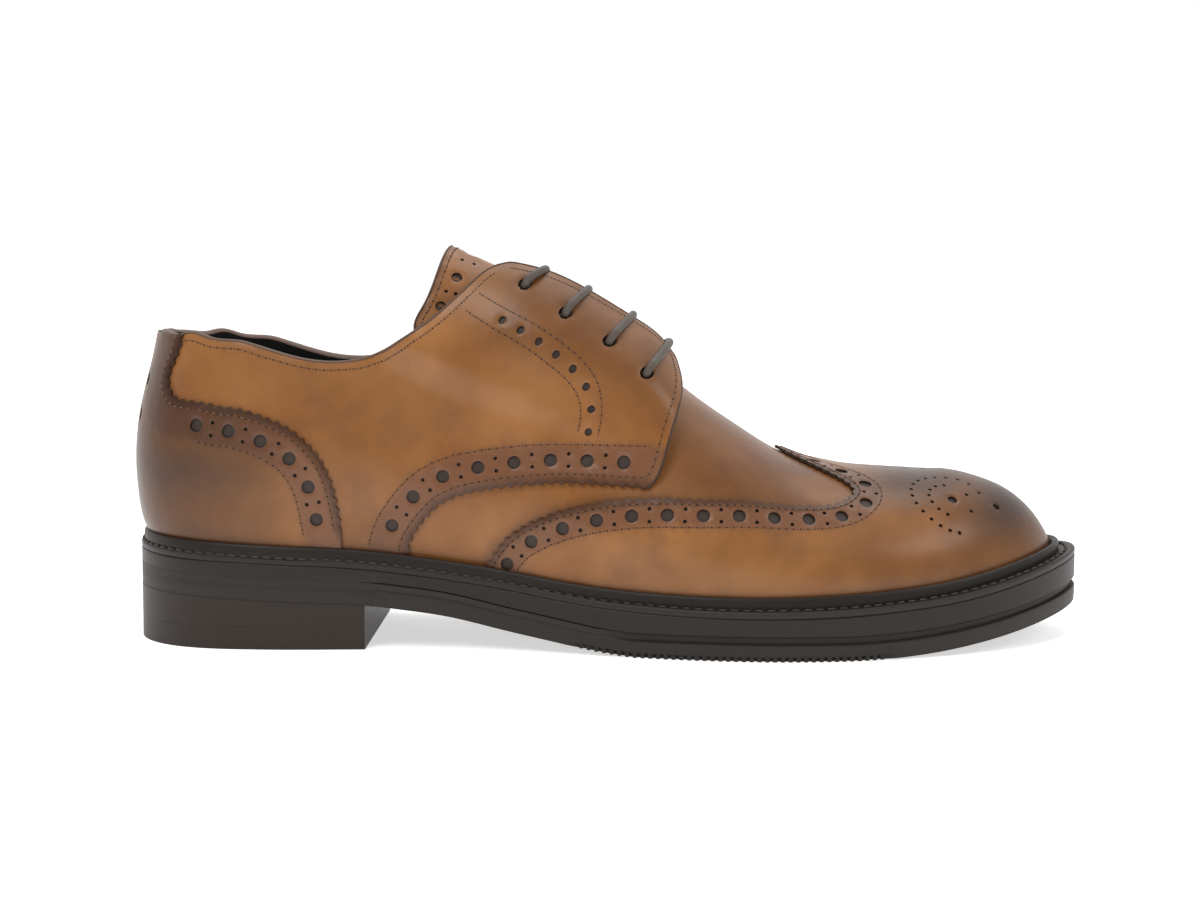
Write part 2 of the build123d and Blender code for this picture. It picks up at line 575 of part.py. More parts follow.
def make_sole():
    edge = prism(plan_outline(edge_margin))
    heel = edge & Pos(HEEL_BREAST - 100, 0, 0) * Box(200, 200, 200)
    layers = {
        "outsole": outsole_solid(edge),
        "midsole": midsole_solid(edge),
        "heel_block": heel & side_slab(lambda x: TOP_LIFT + GAP, under_sole, x_end=HEEL_BREAST + 5),
        "heel_top_lift": heel & Pos(HEEL, 0, TOP_LIFT / 2) * Box(200, 200, TOP_LIFT),
    }
    upward = (Align.CENTER, Align.CENTER, Align.MIN)
    nails = [Pos(x, y, NAIL_POINT) * Cylinder(NAIL / 2, NAIL_LENGTH, align=upward) for x, y in NAILS]
    for x, y in NAILS:
        hole = Pos(x, y, NAIL_POINT - GAP) * Cylinder(NAIL / 2 + GAP, NAIL_LENGTH + 2 * GAP, align=upward)
        layers = {name: solid - hole for name, solid in layers.items()}
    for name, solid in layers.items():
        keep(name, solid)
    keep("heel_nails", Compound([nail.solid() for nail in nails]))
    keep("welt", welt_solid(edge))
    keep("welt_thread", welt_stitches())


def make_sole_inside():
    """Insole, its sock, the cork under the ball and the steel shank in the waist."""
    insole = prism(plan_outline(-INSOLE_INSET))
    keep("insole", insole & side_slab(lambda x: feather(x) - INSOLE, lambda x: feather(x) - GAP))
    sock = prism(plan_outline(-INSOLE_INSET - 0.4))
    keep("sock_lining", sock & side_slab(feather, lambda x: feather(x) + SOCK))
    tray_floor = lambda x: feather(x) - TRAY_DEPTH
    cork = side_slab(tray_floor, lambda x: feather(x) - INSOLE - GAP, -1.5)
    keep("cork_filler", cork & prism(plan_outline(-CORK_INSET)))
    strip = side_slab(tray_floor, lambda x: feather(x) - TRAY_DEPTH + SHANK, *SHANK_ENDS)
    keep("shank", strip & Pos(0, 0, 20) * Box(300, SHANK_WIDTH, 60))


# ---- lacing -------------------------------------------------------------------------------
def lace_route():
    """Corners of one lace in four straight bars, joined under the facings, with a short tail
    at each end."""
    under, above = LINING[0] - LACE / 2 - LACE_GAP, OUTER[1] + LACE / 2 + LACE_STAND
    bars = []
    side = -1
    for x, y in EYELETS:
        half = [over_last(x, side * y, under), over_last(x, side * y, above)]
        half.append(over_last(x + BAR_LEAN, side * (FACING_GAP + 1), above - LACE_STAND))
        other = [over_last(x + BAR_LEAN, -side * (FACING_GAP + 1), above - LACE_STAND)]
        other += [over_last(x, -side * y, above), over_last(x, -side * y, under)]
        bars.append(half + other)
        side = -side
    neighbours = [over_last(EYELETS[k][0], -EYELETS[k][1], under - TAIL_DROP) for k in (1, 2)]
    start = bars[0][0] + (neighbours[0] - bars[0][0]).normalized() * TAIL
    end = bars[3][-1] + (neighbours[1] - bars[3][-1]).normalized() * TAIL
    return [start] + sum(bars, []) + [end]


def make_lace():
    route = lace_route()
    radii = []
    for a, b, c in zip(route, route[1:], route[2:]):
        turn = math.radians((b - a).get_angle(c - b))
        radii.append(0.45 * min((b - a).length, (c - b).length) / math.tan(turn / 2))
    print("lace radii", [round(r, 1) for r in radii])
    path = FilletPolyline(*route, radius=radii)
    lace = sweep(Plane(origin=path @ 0, z_dir=path % 0) * Circle(LACE / 2), path)
    whole = math.pi * LACE**2 / 4 * path.length
    print("lace", round(path.length, 1), "mm, volume over section times length", round(lace.volume / whole, 4))
    keep("lace", lace)
    tips = []
    for here, away in ((route[0], route[0] - route[1]), (route[-1], route[-1] - route[-2])):
        tip = Cylinder(LACE / 2, TIP_LENGTH, align=(Align.CENTER, Align.CENTER, Align.MIN))
        tips.append((Plane(origin=here, z_dir=away) * tip).solid())
    keep("lace_tips", Compound(tips))


os.makedirs("parts", exist_ok=True)
make_forepart()
make_heel_cover()
make_side("lateral", -1)
make_side("medial", 1)
make_tongue()
make_sole()
make_sole_inside()
make_lace()
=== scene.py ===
"""Visual model of a full-brogue derby shoe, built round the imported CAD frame."""
import math

import bmesh
import bpy
import numpy as np
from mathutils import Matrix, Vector, geometry


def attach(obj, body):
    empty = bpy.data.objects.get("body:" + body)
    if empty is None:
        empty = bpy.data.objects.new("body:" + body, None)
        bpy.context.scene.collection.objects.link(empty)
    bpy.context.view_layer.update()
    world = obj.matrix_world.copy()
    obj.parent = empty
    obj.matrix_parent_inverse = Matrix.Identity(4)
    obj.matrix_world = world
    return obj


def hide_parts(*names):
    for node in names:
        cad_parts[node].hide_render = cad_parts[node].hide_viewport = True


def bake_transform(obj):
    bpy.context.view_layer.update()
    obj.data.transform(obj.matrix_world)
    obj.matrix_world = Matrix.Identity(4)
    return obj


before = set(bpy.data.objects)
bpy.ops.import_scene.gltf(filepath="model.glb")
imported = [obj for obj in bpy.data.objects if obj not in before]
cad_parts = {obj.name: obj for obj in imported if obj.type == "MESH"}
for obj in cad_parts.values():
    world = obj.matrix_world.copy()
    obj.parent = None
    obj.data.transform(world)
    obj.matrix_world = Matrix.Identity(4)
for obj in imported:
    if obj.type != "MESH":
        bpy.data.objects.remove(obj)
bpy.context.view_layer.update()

# Everything is worked out in millimetres on the shoe's last, then moved to the frame in metres.
# +X is the toe and -Y the lateral side. A leather piece is cut in a flat pattern wrapped on the
# last: pattern X runs along the shoe, pattern Y is the distance from the centre line over the
# instep, and past the spine's two ends the pattern fans out about HEEL and TOE.
MM = 0.001
CENTRING = np.array([0.2, 2.8, 0.0])   # from the last's own origin to the frame's
BACK, TIP = -142.7, 140.7   # ends of the last
HEEL, TOE = -112.0, 92.0   # ends of the spine that the sections stand on
CORE_DROP = 6.0   # the sections' rays start this far below the feather edge
HEM_DROP = 3.0   # the uppers reach this far below the feather edge

# Half widths of the last at the feather edge, and its heights, as (x, value)
LATERAL_WIDTH = [(-140, 12.2), (-132, 22), (-118, 28), (-100, 30), (-78, 29.8), (-52, 30), (-26, 33.5),
                 (0, 39), (25, 44.5), (45, 47), (62, 46.8), (80, 44), (98, 38.5), (115, 30.5),
                 (128, 21.5), (136, 13), (139.5, 6.5)]
MEDIAL_WIDTH = [(-140, 12), (-132, 21.5), (-118, 27.5), (-100, 29), (-78, 27.5), (-52, 24.5), (-26, 25),
                (0, 30), (25, 36), (45, 40), (62, 41.5), (80, 40.8), (98, 37.5), (115, 31.5),
                (128, 23.5), (136, 14.5), (139.5, 7)]
FEATHER_HEIGHT = [(-151, 31.9), (-146, 31.5), (-125, 30.3), (-94, 28.9), (-78, 28), (-63, 26.4),
                  (-48, 24.4), (-32, 22.1), (-17, 19.6), (-2, 17.6), (12, 16.6), (27, 16), (42, 15.8),
                  (57, 16), (72, 16.5), (88, 17.5), (104, 19.1), (121, 22), (132, 24.4), (151, 29)]
INSTEP_HEIGHT = [(-151, 156.5), (-115, 151.5), (-90, 142), (-70, 132.5), (-48.7, 121.5), (-34.5, 115),
                 (-21.6, 109), (-8.7, 102), (4, 93.5), (17, 83.5), (30, 73.3), (43, 64.5), (54, 57.7),
                 (62, 54.5), (72, 52), (81, 50.9), (94, 50.1), (104, 49.3), (113, 47.5), (122, 44.2)]
# Height over the feather edge near the toe, divided by the root of the distance to the tip
TOE_ROUND = [(60, 4.29), (94, 4.78), (104, 5.13), (113, 5.42), (122, 5.58), (128, 5.6),
             (133.5, 5.3), (137, 4.75), (139.8, 3.9)]
BACK_CURVE = [(21.5, 0), (27.5, 0), (31.5, 0.4), (37.5, 2.7), (44.5, 4.1), (54.5, 4.8), (64.5, 4.3),
              (73.5, 2.8), (83.5, 0.3), (91.5, -1.6), (97.5, -2.6), (131.5, -5)]
SIDE_SWELL = [(-151, 0.06), (-110, 0.07), (-60, 0.09), (-10, 0.06), (40, 0.025), (90, 0.02), (120, 0),
              (141, 0)]

# Sole
SOLE_BOTTOM = [(-152, 17.1), (-125, 15.9), (-94, 14.4), (-74, 13.5), (-63, 12.2), (-48, 10.03),
               (-33, 6.77), (-14, 3.15), (-2, 1.05), (8, 0)]
SOLE_FLAT_END = 75.0
TOE_SPRING = [(75, 0), (94, 1), (104, 2.1), (122, 4.9), (140, 8.6), (156, 12.4)]
LOWER_BAND, GROOVE, GROOVE_DEPTH = 5.1, 2.0, 1.2
TOOTH, TOOTH_PITCH = 1.5, 2.3   # height and spacing of the teeth along the tread's edge
WELT_PLATE, WELT_LIP, LIP_WIDTH = 2.0, 2.7, 2.2
WELT_STITCH_PITCH, WELT_STITCH_LENGTH, WELT_STITCH_RADIUS = 3.6, 3.0, 0.5
TEETH_START, TEETH_END, TEETH_DEPTH = -8.0, 83.0, 4
EDGE_MARGIN = [(-202, 6.9), (-130, 6.9), (-112, 6.4), (-75, 6.0), (-30, 6.0), (0, 7.5), (45, 8.3),
               (92, 8.8), (137, 9.6), (182, 10.3)]


# ---- the last ----
def smooth_curve(knots):
    """Natural cubic through (x, value) pairs, as a function of x."""
    x, v = np.array(knots, float).T
    h = np.diff(x)
    rows = np.zeros((len(x), len(x)))
    right = np.zeros(len(x))
    rows[0, 0] = rows[-1, -1] = 1
    for i in range(1, len(x) - 1):
        rows[i, i - 1:i + 2] = h[i - 1], 2 * (h[i - 1] + h[i]), h[i]
        right[i] = 6 * ((v[i + 1] - v[i]) / h[i] - (v[i] - v[i - 1]) / h[i - 1])
    bend = np.linalg.solve(rows, right)

    def value(s):
        s = np.clip(s, x[0], x[-1])
        i = np.clip(np.searchsorted(x, s) - 1, 0, len(h) - 1)
        p, q = (x[i + 1] - s) / h[i], (s - x[i]) / h[i]
        curved = (p**3 - p) * bend[i] + (q**3 - q) * bend[i + 1]
        return p * v[i] + q * v[i + 1] + curved * h[i]**2 / 6
    return value


def width_curve(knots):
    """Squared half width, rounded at both ends of the last."""
    shape = smooth_curve([(x, w / math.sqrt((x - BACK) * (TIP - x))) for x, w in knots])
    return lambda x: shape(x)**2 * (x - BACK) * (TIP - x)


lateral_width = width_curve(LATERAL_WIDTH)
medial_width = width_curve(MEDIAL_WIDTH)
feather = smooth_curve(FEATHER_HEIGHT)
instep = smooth_curve(INSTEP_HEIGHT)
toe_round = smooth_curve(TOE_ROUND)
back_curve = smooth_curve(BACK_CURVE)
side_swell = smooth_curve(SIDE_SWELL)
edge_margin = smooth_curve(EDGE_MARGIN)


def step(start, end, s):
    """Smooth rise from 0 to 1 between start and end."""
    t = np.clip((s - start) / (end - start), 0, 1)
    return t * t * (3 - 2 * t)


def height(x):
    """Height of the last over its feather edge."""
    low = instep(x) - feather(x)
    toe = toe_round(x) * np.sqrt(np.maximum(TIP - x, 1e-9))
    return low + (toe - low) * step(98, 112, x)


def level(p):
    """Below 0 inside the last, above 0 outside."""
    x, y, z = p[..., 0], p[..., 1], p[..., 2]
    along = x + back_curve(z) * (1 - step(-135, -85, x))
    width = np.where(y < 0, lateral_width(along), medial_width(along))
    up = np.maximum(z - feather(x), 0) / np.maximum(height(x), 1e-6)
    swell = 1 + side_swell(x) * np.sin(np.pi * np.clip(up / 0.62, 0, 1))**2
    power = 2.0 + 0.35 * step(0, 50, x) * (1 - step(95, 125, x))
    inside = (along > BACK) & (x < TIP) & (width > 0)
    width = np.where(inside, width, 1e-6) * swell**2
    value = (y * y / width)**(power / 2) + up**2 - 1
    return np.where(inside, value, 1 + np.abs(value))


def farthest(within, shape, reach, rounds):
    """The greatest distances at which a test still holds, found by halving."""
    low, high = np.zeros(shape), np.full(shape, reach)
    for _ in range(rounds):
        t = (low + high) / 2
        held = within(t)
        low, high = np.where(held, t, low), np.where(held, high, t)
    return low


def plan_radius(centre, dx, dy):
    """Distance in plan from the spine to the feather edge."""
    def within(t):
        x, y = centre + t * dx, t * dy
        width = np.where(y < 0, lateral_width(x), medial_width(x))
        return (x > BACK) & (x < TIP) & (y * y < width)
    return farthest(within, centre.shape, 80.0, 24)


def shoot(centre, dx, dy, angle):
    """Where rays from the core leave the last."""
    start = np.stack([centre, 0 * centre, feather(centre) - CORE_DROP], -1)
    ray = np.stack([dx * np.cos(angle), dy * np.cos(angle), np.sin(angle)], -1)
    reach = farthest(lambda t: level(start + t[..., None] * ray) < 0, centre.shape, 200.0, 25)
    return start + reach[..., None] * ray


def section_rays(u, side):
    """Spine point and plan direction of the section at u: x on the spine, degrees past its ends."""
    centre = np.clip(u, HEEL, TOE)
    turn = np.radians(u - centre)
    return centre, np.sin(turn), side * np.cos(turn)


RAYS = 49
ALONG = 1.5   # how far out from the last lengths along the leather are measured
ACROSS = 1.0   # and distances from edges and holes
END_TURN = 5.0   # normals at the very ends are taken this many degrees beside them
STATIONS = np.concatenate([np.arange(HEEL - 90, HEEL, 5.0), np.arange(HEEL, TOE, 6.0),
                           np.arange(TOE, TOE + 91, 5.0)])


def section_tables(side):
    """For each station: the ray angles from hem to ridge, and the arc length at each."""
    centre, dx, dy = section_rays(STATIONS, side)
    radius = plan_radius(centre, dx, dy)
    hem = feather(centre + radius * dx) - HEM_DROP
    low = np.arctan2(hem - feather(centre) + CORE_DROP, radius)
    angles = low[:, None] + (np.pi / 2 - low[:, None]) * np.linspace(0, 1, RAYS)
    points = shoot(*(np.repeat(a[:, None], RAYS, 1) for a in (centre, dx, dy)), angles)
    steps = np.linalg.norm(np.diff(points, axis=1), axis=2)
    return angles, np.concatenate([np.zeros((len(centre), 1)), np.cumsum(steps, axis=1)], 1)


TABLES = {side: section_tables(side) for side in (-1, 1)}


def girth(u):
    """Arc length from hem to ridge on the lateral side."""
    return np.interp(u, STATIONS, TABLES[-1][1][:, -1])


def place(u, side, share):
    """Points of the last, a share of the way up from the hem (0) to the ridge (1)."""
    centre, dx, dy = section_rays(u, side)
    angle = np.zeros_like(u)
    i = np.clip(np.searchsorted(STATIONS, u) - 1, 0, len(STATIONS) - 2)
    q = ((u - STATIONS[i]) / (STATIONS[i + 1] - STATIONS[i]))[:, None]
    for one in (-1, 1):
        mask = side == one
        angles, arcs = TABLES[one]
        turn = (angles[i] * (1 - q) + angles[i + 1] * q)[mask]
        arc = (arcs[i] * (1 - q) + arcs[i + 1] * q)[mask]
        want = share[mask] * arc[:, -1]
        j = np.clip((arc < want[:, None]).sum(1) - 1, 0, RAYS - 2)
        k = np.arange(len(j))
        part = (want - arc[k, j]) / (arc[k, j + 1] - arc[k, j])
        angle[mask] = turn[k, j] + part * (turn[k, j + 1] - turn[k, j])
    return shoot(centre, dx, dy, angle)


def surface(pattern):
    """Points of the last and its outward normals at pattern positions (n, 2). Both sides use the
    lateral side's pattern: the medial side takes the same share of its own girth."""
    x, y = np.asarray(pattern, float).T
    end = np.clip(x, HEEL, TOE)
    turn = np.degrees(np.arctan2(np.abs(x - end), np.abs(y)))
    u = end + np.sign(x - end) * turn
    side = np.where(y < 0, -1, 1)
    share = 1 - np.hypot(x - end, y) / girth(u)
    p = place(u, side, share)
    near = place(np.clip(u, HEEL - 90 + END_TURN, TOE + 90 - END_TURN), side, share)
    e = 0.05
    slope = np.stack([level(near + axis * e) - level(near - axis * e) for axis in np.eye(3)], -1)
    slope[:, 1] *= np.minimum(np.abs(p[:, 1]) / np.maximum(np.abs(near[:, 1]), 1e-9), 1)
    return p, slope / np.linalg.norm(slope, axis=-1, keepdims=True)


def on_last(pattern, offset=0.0):
    """Points at an offset out from the last, at pattern positions."""
    p, normal = surface(pattern)
    return p + normal * np.reshape(offset, (-1, 1))


tongue_room = smooth_curve([(-85, 0.2), (-66, 4.2), (-45, 4.5), (-33, 4.1), (-20, 3.6), (20, 3.4)])
lace_room = smooth_curve([(-60, 0), (-50, 0.8), (-40, 2.4), (-30, 4.6), (-22, 5.8), (-12, 5.8),
                          (0, 5.5), (10, 5.2), (17, 3.4), (22, 1.6)])


def facing_lift(pattern):
    """How far the quarters stand off the last, over the tongue and over the crossing laces."""
    x, y = np.asarray(pattern, float).T
    y = np.abs(y)
    over_tongue = np.where(x < -66, tongue_room(x) * step(-92, -66, x), tongue_room(x))
    return over_tongue * (1 - step(43, 58, y)) + lace_room(x) * (1 - step(26, 46, y))


# ---- pattern tools ----
def unit(vectors):
    """Vectors of length 1."""
    return vectors / np.linalg.norm(vectors, axis=-1, keepdims=True)


PINK_PITCH, PINK_DEPTH = 3.1, 1.0


def fan(degrees, reach):
    """Pattern position in the heel fan, degrees from the back seam, reach from HEEL."""
    turn = math.radians(degrees)
    return HEEL - reach * math.cos(turn), reach * math.sin(turn)


def hem(u_start, u_end, up=0.0, count=60):
    """Pattern positions along the hem, or a little above it."""
    u = np.linspace(u_start, u_end, count)
    centre, dx, dy = section_rays(u, 1)
    reach = girth(u) - up
    return np.stack([centre + reach * dx, reach * dy], 1)


def mirrored(points):
    """Outline of one side, carried on over the centre line to the other."""
    points = np.asarray(points, float)
    other = points[::-1] * (1, -1)
    return np.concatenate([points, other[1:] if abs(points[-1][1]) < 0.01 else other])


def run_of(points):
    """Length along a line of points, at each of them."""
    steps = np.linalg.norm(np.diff(points, axis=0), axis=1)
    return np.concatenate([[0], np.cumsum(steps)])


def part_way(s, run, points):
    """Points of a line at given lengths along it."""
    return np.stack([np.interp(s, run, column) for column in points.T], -1)


def smooth(points, count=160):
    """Closely spaced points along a smooth curve through the given ones."""
    points = np.asarray(points, float)
    run = run_of(points)
    s = np.linspace(0, run[-1], count)
    return np.stack([smooth_curve(np.stack([run, points[:, k]], 1))(s) for k in (0, 1)], 1)


def spaced(points, pitch, start=0.0, end=0.0):
    """Points at an even real pitch along a pattern curve, leaving a real run free at each end."""
    run = run_of(on_last(points, ALONG))
    length = run[-1] - start - end
    count = max(int(round(length / pitch)), 1)
    s = start + np.linspace(0, length, count + 1)
    return part_way(s, run, points)


def metric(points):
    """Real vectors per pattern millimetre along X and along Y, and their products."""
    e = 0.2
    a, b = [(on_last(points + s, ALONG) - on_last(points - s, ALONG)) / (2 * e)
            for s in (np.array([e, 0]), np.array([0, e]))]
    return a, b, (a * a).sum(1), (a * b).sum(1), (b * b).sum(1)


def to_pattern(points, real):
    """Pattern shifts that make given real shifts in the leather's surface."""
    a, b, aa, ab, bb = metric(points)
    ra, rb = (real * a).sum(1), (real * b).sum(1)
    det = aa * bb - ab * ab
    return np.stack([(bb * ra - ab * rb) / det, (aa * rb - ab * ra) / det], 1)


def beside(points, reach):
    """Pattern curve at a real distance to the right of another, or to its left below 0."""
    solid, normal = surface(points)
    right = unit(np.cross(np.gradient(solid, axis=0), normal))
    reach = np.broadcast_to(reach, len(points))[:, None]
    return points + to_pattern(points, right * reach)


def discs(centres, radii, sides):
    """Round holes in the leather, as pattern polygons."""
    if not len(centres):
        return []
    centres = np.asarray(centres, float)
    _, _, aa, ab, bb = metric(centres)
    side = np.sqrt(bb - ab * ab / aa)
    loops = []
    for k, (centre, radius, count) in enumerate(zip(centres, radii, sides)):
        turn = np.linspace(0, 2 * np.pi, count, endpoint=False)
        up = radius * np.sin(turn) / side[k]
        along = radius * np.cos(turn) / math.sqrt(aa[k]) - up * ab[k] / aa[k]
        loops.append(centre + np.stack([along, up], 1))
    return loops


def pinked(points):
    """Zigzag along a pattern curve, as the gimping shears cut it."""
    teeth = spaced(points, PINK_PITCH / 2)
    reach = np.where(np.arange(len(teeth)) % 2 == 0, -PINK_DEPTH / 2, PINK_DEPTH / 2)
    reach[[0, -1]] = 0
    return beside(teeth, reach)


def inside(points, loop):
    """Which points lie inside a closed loop."""
    x, y = points[:, :1], points[:, 1:]
    a, b = loop, np.roll(loop, -1, 0)
    rise = b[:, 1] - a[:, 1]
    rise = np.where(rise == 0, 1e-9, rise)
    crossed = ((a[:, 1] > y) != (b[:, 1] > y)) & (x < a[:, 0] + (y - a[:, 1]) * (b - a)[:, 0] / rise)
    return crossed.sum(1) % 2 == 1


def distance(points, line):
    """Distance in space from each point to an open line of points."""
    a, d = line[:-1], np.diff(line, axis=0)
    length2 = np.maximum((d * d).sum(1), 1e-12)
    result = []
    for chunk in np.array_split(points, max(len(points) // 2000, 1)):
        t = ((chunk[:, None] - a) * d).sum(2) / length2
        nearest = a + np.clip(t, 0, 1)[..., None] * d
        result.append(np.linalg.norm(chunk[:, None] - nearest, axis=2).min(1))
    return np.concatenate(result)


# ---- meshes ----
def add_object(name, data):
    """Puts a mesh, lamp or camera in the scene."""
    thing = bpy.data.objects.new(name, data)
    bpy.context.scene.collection.objects.link(thing)
    return thing


def make_mesh(name, points, faces, materials, picks=None, floats=None, sharp=38):
    """Mesh object from points in millimetres on the last."""
    mesh = bpy.data.meshes.new(name)
    mesh.from_pydata(((points + CENTRING) * MM).tolist(), [], faces)
    for material in materials:
        mesh.materials.append(material)
    if picks is not None:
        mesh.polygons.foreach_set("material_index", picks)
    for key, values in (floats or {}).items():
        layer = mesh.attributes.new(key, "FLOAT", "POINT")
        layer.data.foreach_set("value", np.asarray(values, np.float32))
    mesh.polygons.foreach_set("use_smooth", [True] * len(mesh.polygons))
    mesh.set_sharp_from_angle(angle=math.radians(sharp))
    mesh.update()
    return add_object(name, mesh)


def finish_piece(thing, replaced=(), body="shoe"):
    """Makes a piece ride on a body, in place of the CAD nodes it replaces."""
    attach(thing, body)
    if replaced:
        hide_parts(*replaced)


def hex_points(low, high, spacing):
    """Triangular lattice over a pattern box."""
    rows = np.arange(low[1], high[1], spacing * 0.866)
    points = []
    for k, y in enumerate(rows):
        x = np.arange(low[0] + (k % 2) * spacing / 2, high[0], spacing)
        points.append(np.stack([x, np.full_like(x, y)], 1))
    return np.concatenate(points)


RING_GAP, CLEARANCE = 0.55, 0.45   # ring of points round each hole, and room kept free round it
RIM_DROP, RIM_EASE = 0.28, 1.1   # how far the leather eases down at its rim, and over what width
PIT_DEPTH = 0.95
BIG = 1.0   # a hole of a larger radius than this is cut with more corners


def eased_down(away, radius):
    """How far the leather eases down beside a hole, by the distance from its centre."""
    depth = 0.22 if radius > BIG else 0.1
    return depth * (1 - step(-0.1, 0.6, away - radius))


def cut_sheet(outline, cuts, loose):
    """Flat triangles of a pattern outline with cuts in it, and for each the cut it lies in, or -1."""
    start, edges = 0, []
    for loop in [outline] + cuts:
        count = len(loop)
        edges += [(start + k, start + (k + 1) % count) for k in range(count)]
        start += count
    points = np.concatenate([outline] + cuts + [loose])
    result = geometry.delaunay_2d_cdt([Vector(p) for p in points], edges, [], 0, 1e-6)
    flat = np.array([tuple(v) for v in result[0]])
    triangles = np.array(result[2])
    middle = flat[triangles].mean(1)
    kept = inside(middle, outline)
    triangles, middle = triangles[kept], middle[kept]
    owner = np.full(len(triangles), -1)
    for k, loop in enumerate(cuts):
        box_low, box_high = loop.min(0), loop.max(0)
        close = ((middle > box_low) & (middle < box_high)).all(1)
        owner[np.flatnonzero(close)[inside(middle[close], loop)]] = k
    return flat, triangles, owner


def closed_faces(solid, pit, count):
    """Faces and their materials for a sheet with its pits' floors, its back and its walls. Points
    are numbered on the top, then count on for the floors, and again for the back."""
    faces = [*solid.tolist(), *(pit + count).tolist()]
    picks = [0] * len(solid) + [2] * len(pit)
    under = np.concatenate([solid, pit])[:, ::-1] + 2 * count
    faces += under.tolist()
    picks += [1] * len(under)
    rims = np.concatenate([solid[:, [0, 1]], solid[:, [1, 2]], solid[:, [2, 0]]]).tolist()
    known = {tuple(rim) for rim in rims}
    pit_corners = set(pit.ravel().tolist())
    # walls stand on every edge that only one sheet triangle uses
    for a, b in rims:
        if (b, a) not in known:
            to_floor = a in pit_corners and b in pit_corners
            drop = count if to_floor else 2 * count
            faces.append([a, a + drop, b + drop, b])
            picks.append(2 if to_floor else 1)
    return faces, picks


def wrap(name, outline, layer, materials, pits=(), holes=(), lifted=False, spacing=2.4, tone=None):
    """Sheet of leather: a pattern outline with brogue pits and through holes, wrapped on the last,
    its rims eased, its edges and back closed. Pits and holes are (centre, radius)."""
    outline = np.asarray(outline, float)
    sides = [14 if radius > BIG else 8 for _, radius in pits] + [20] * len(holes)
    rounds = list(pits) + list(holes)
    centres = [c for c, _ in rounds]
    radii = np.array([r for _, r in rounds])
    cuts = discs(centres, radii, sides)
    hearts = on_last(np.array(centres), ACROSS) if rounds else []
    loose = hex_points(outline.min(0), outline.max(0), spacing)
    loose = np.concatenate([loose[inside(loose, outline)]] + discs(centres, radii + RING_GAP, sides))
    edge_line = on_last(np.concatenate([outline, outline[:1]]), ACROSS)
    loose = loose[distance(on_last(loose, ACROSS), edge_line) > RING_GAP]
    if rounds:
        near = np.linalg.norm(on_last(loose, ACROSS)[:, None] - hearts, axis=2) - radii
        loose = loose[near.min(1) > CLEARANCE]
    flat, triangles, owner = cut_sheet(outline, cuts, loose)
    base, normal = surface(flat)
    lift = facing_lift(flat) if lifted else np.zeros(len(flat))
    drop = RIM_DROP * (1 - step(0, RIM_EASE, distance(base + normal, edge_line)))
    for heart, radius in zip(hearts, radii):
        away = np.linalg.norm(base + normal - heart, axis=1)
        drop = np.maximum(drop, eased_down(away, radius))
    heights = (layer[1] + lift - drop, layer[1] + lift - PIT_DEPTH, layer[0] + lift)
    points = np.concatenate([base + normal * h[:, None] for h in heights])
    pit = triangles[(owner >= 0) & (owner < len(pits))]
    faces, picks = closed_faces(triangles[owner < 0], pit, len(flat))
    used = np.unique([i for f in faces for i in f])
    index = np.full(len(points), -1)
    index[used] = np.arange(len(used))
    faces = [[int(index[i]) for i in f] for f in faces]
    floats = {}
    if tone is not None:
        floats = {key: np.tile(values, 3)[used] for key, values in tone(flat, base).items()}
    return make_mesh(name, points[used], faces, materials, picks, floats)


class Thread:
    """Stitches gathered into one mesh."""

    def __init__(self):
        self.parts = []

    def row(self, line, offset, lifted, pitch, length, radius, start, end):
        """A row of stitches along a pattern curve, lying on the leather."""
        marks = spaced(line, pitch, start, end)
        base, normal = surface(marks)
        lift = facing_lift(marks) if lifted else 0.0
        here = base + normal * np.reshape(offset + lift, (-1, 1))
        self.add(here, normal, length, radius)

    def add(self, here, normal, length, radius):
        """Six-sided stitches with pointed ends, each at its place in the row."""
        along = unit(np.gradient(here, axis=0))
        across = unit(np.cross(normal, along))
        up = np.cross(along, across)
        rings = [here - along * length / 2 - up * radius]
        for reach in (-0.32, 0.32):
            for k in range(6):
                turn = math.pi * k / 3
                side = across * math.cos(turn) + up * math.sin(turn)
                rings.append(here + along * length * reach + side * radius)
        rings.append(here + along * length / 2 - up * radius)
        self.parts.append(np.stack(rings, 1))

    def make(self, name, material):
        """All the stitches as one mesh."""
        points = np.concatenate(self.parts)
        faces = []
        for s in range(len(points)):
            o = 14 * s
            for k in range(6):
                n = (k + 1) % 6
                faces.append((o, o + 1 + n, o + 1 + k))
                faces.append((o + 1 + k, o + 1 + n, o + 7 + n, o + 7 + k))
                faces.append((o + 7 + k, o + 7 + n, o + 13))
        return make_mesh(name, points.reshape(-1, 3), faces, [material], sharp=70)


def bead(name, line, middle, thick, proud, material, lifted=True, away=1):
    """Rounded edge along a pattern curve: thick is its half size through the leather, proud its
    half size along the leather."""
    sides = 12
    marks = spaced(line, 1.6)
    base, normal = surface(marks)
    lift = facing_lift(marks) if lifted else 0.0
    heart = base + normal * np.reshape(middle + lift, (-1, 1))
    out = unit(np.cross(np.gradient(heart, axis=0), normal) * away)
    rings = []
    for k in range(sides):
        turn = 2 * math.pi * k / sides
        rings.append(heart + normal * thick * math.cos(turn) + out * proud * math.sin(turn))
    grid = np.stack(rings, 1)
    faces = []
    for i in range(len(grid) - 1):
        for k in range(sides):
            n = (k + 1) % sides
            faces.append((i * sides + k, i * sides + n, (i + 1) * sides + n, (i + 1) * sides + k))
    faces.append(tuple(range(sides))[::-1])
    faces.append(tuple((len(grid) - 1) * sides + k for k in range(sides)))
    return make_mesh(name, grid.reshape(-1, 3), faces, [material], sharp=50)


# ---- sole tools ----
sole_back = smooth_curve(SOLE_BOTTOM)
sole_front = smooth_curve(TOE_SPRING)


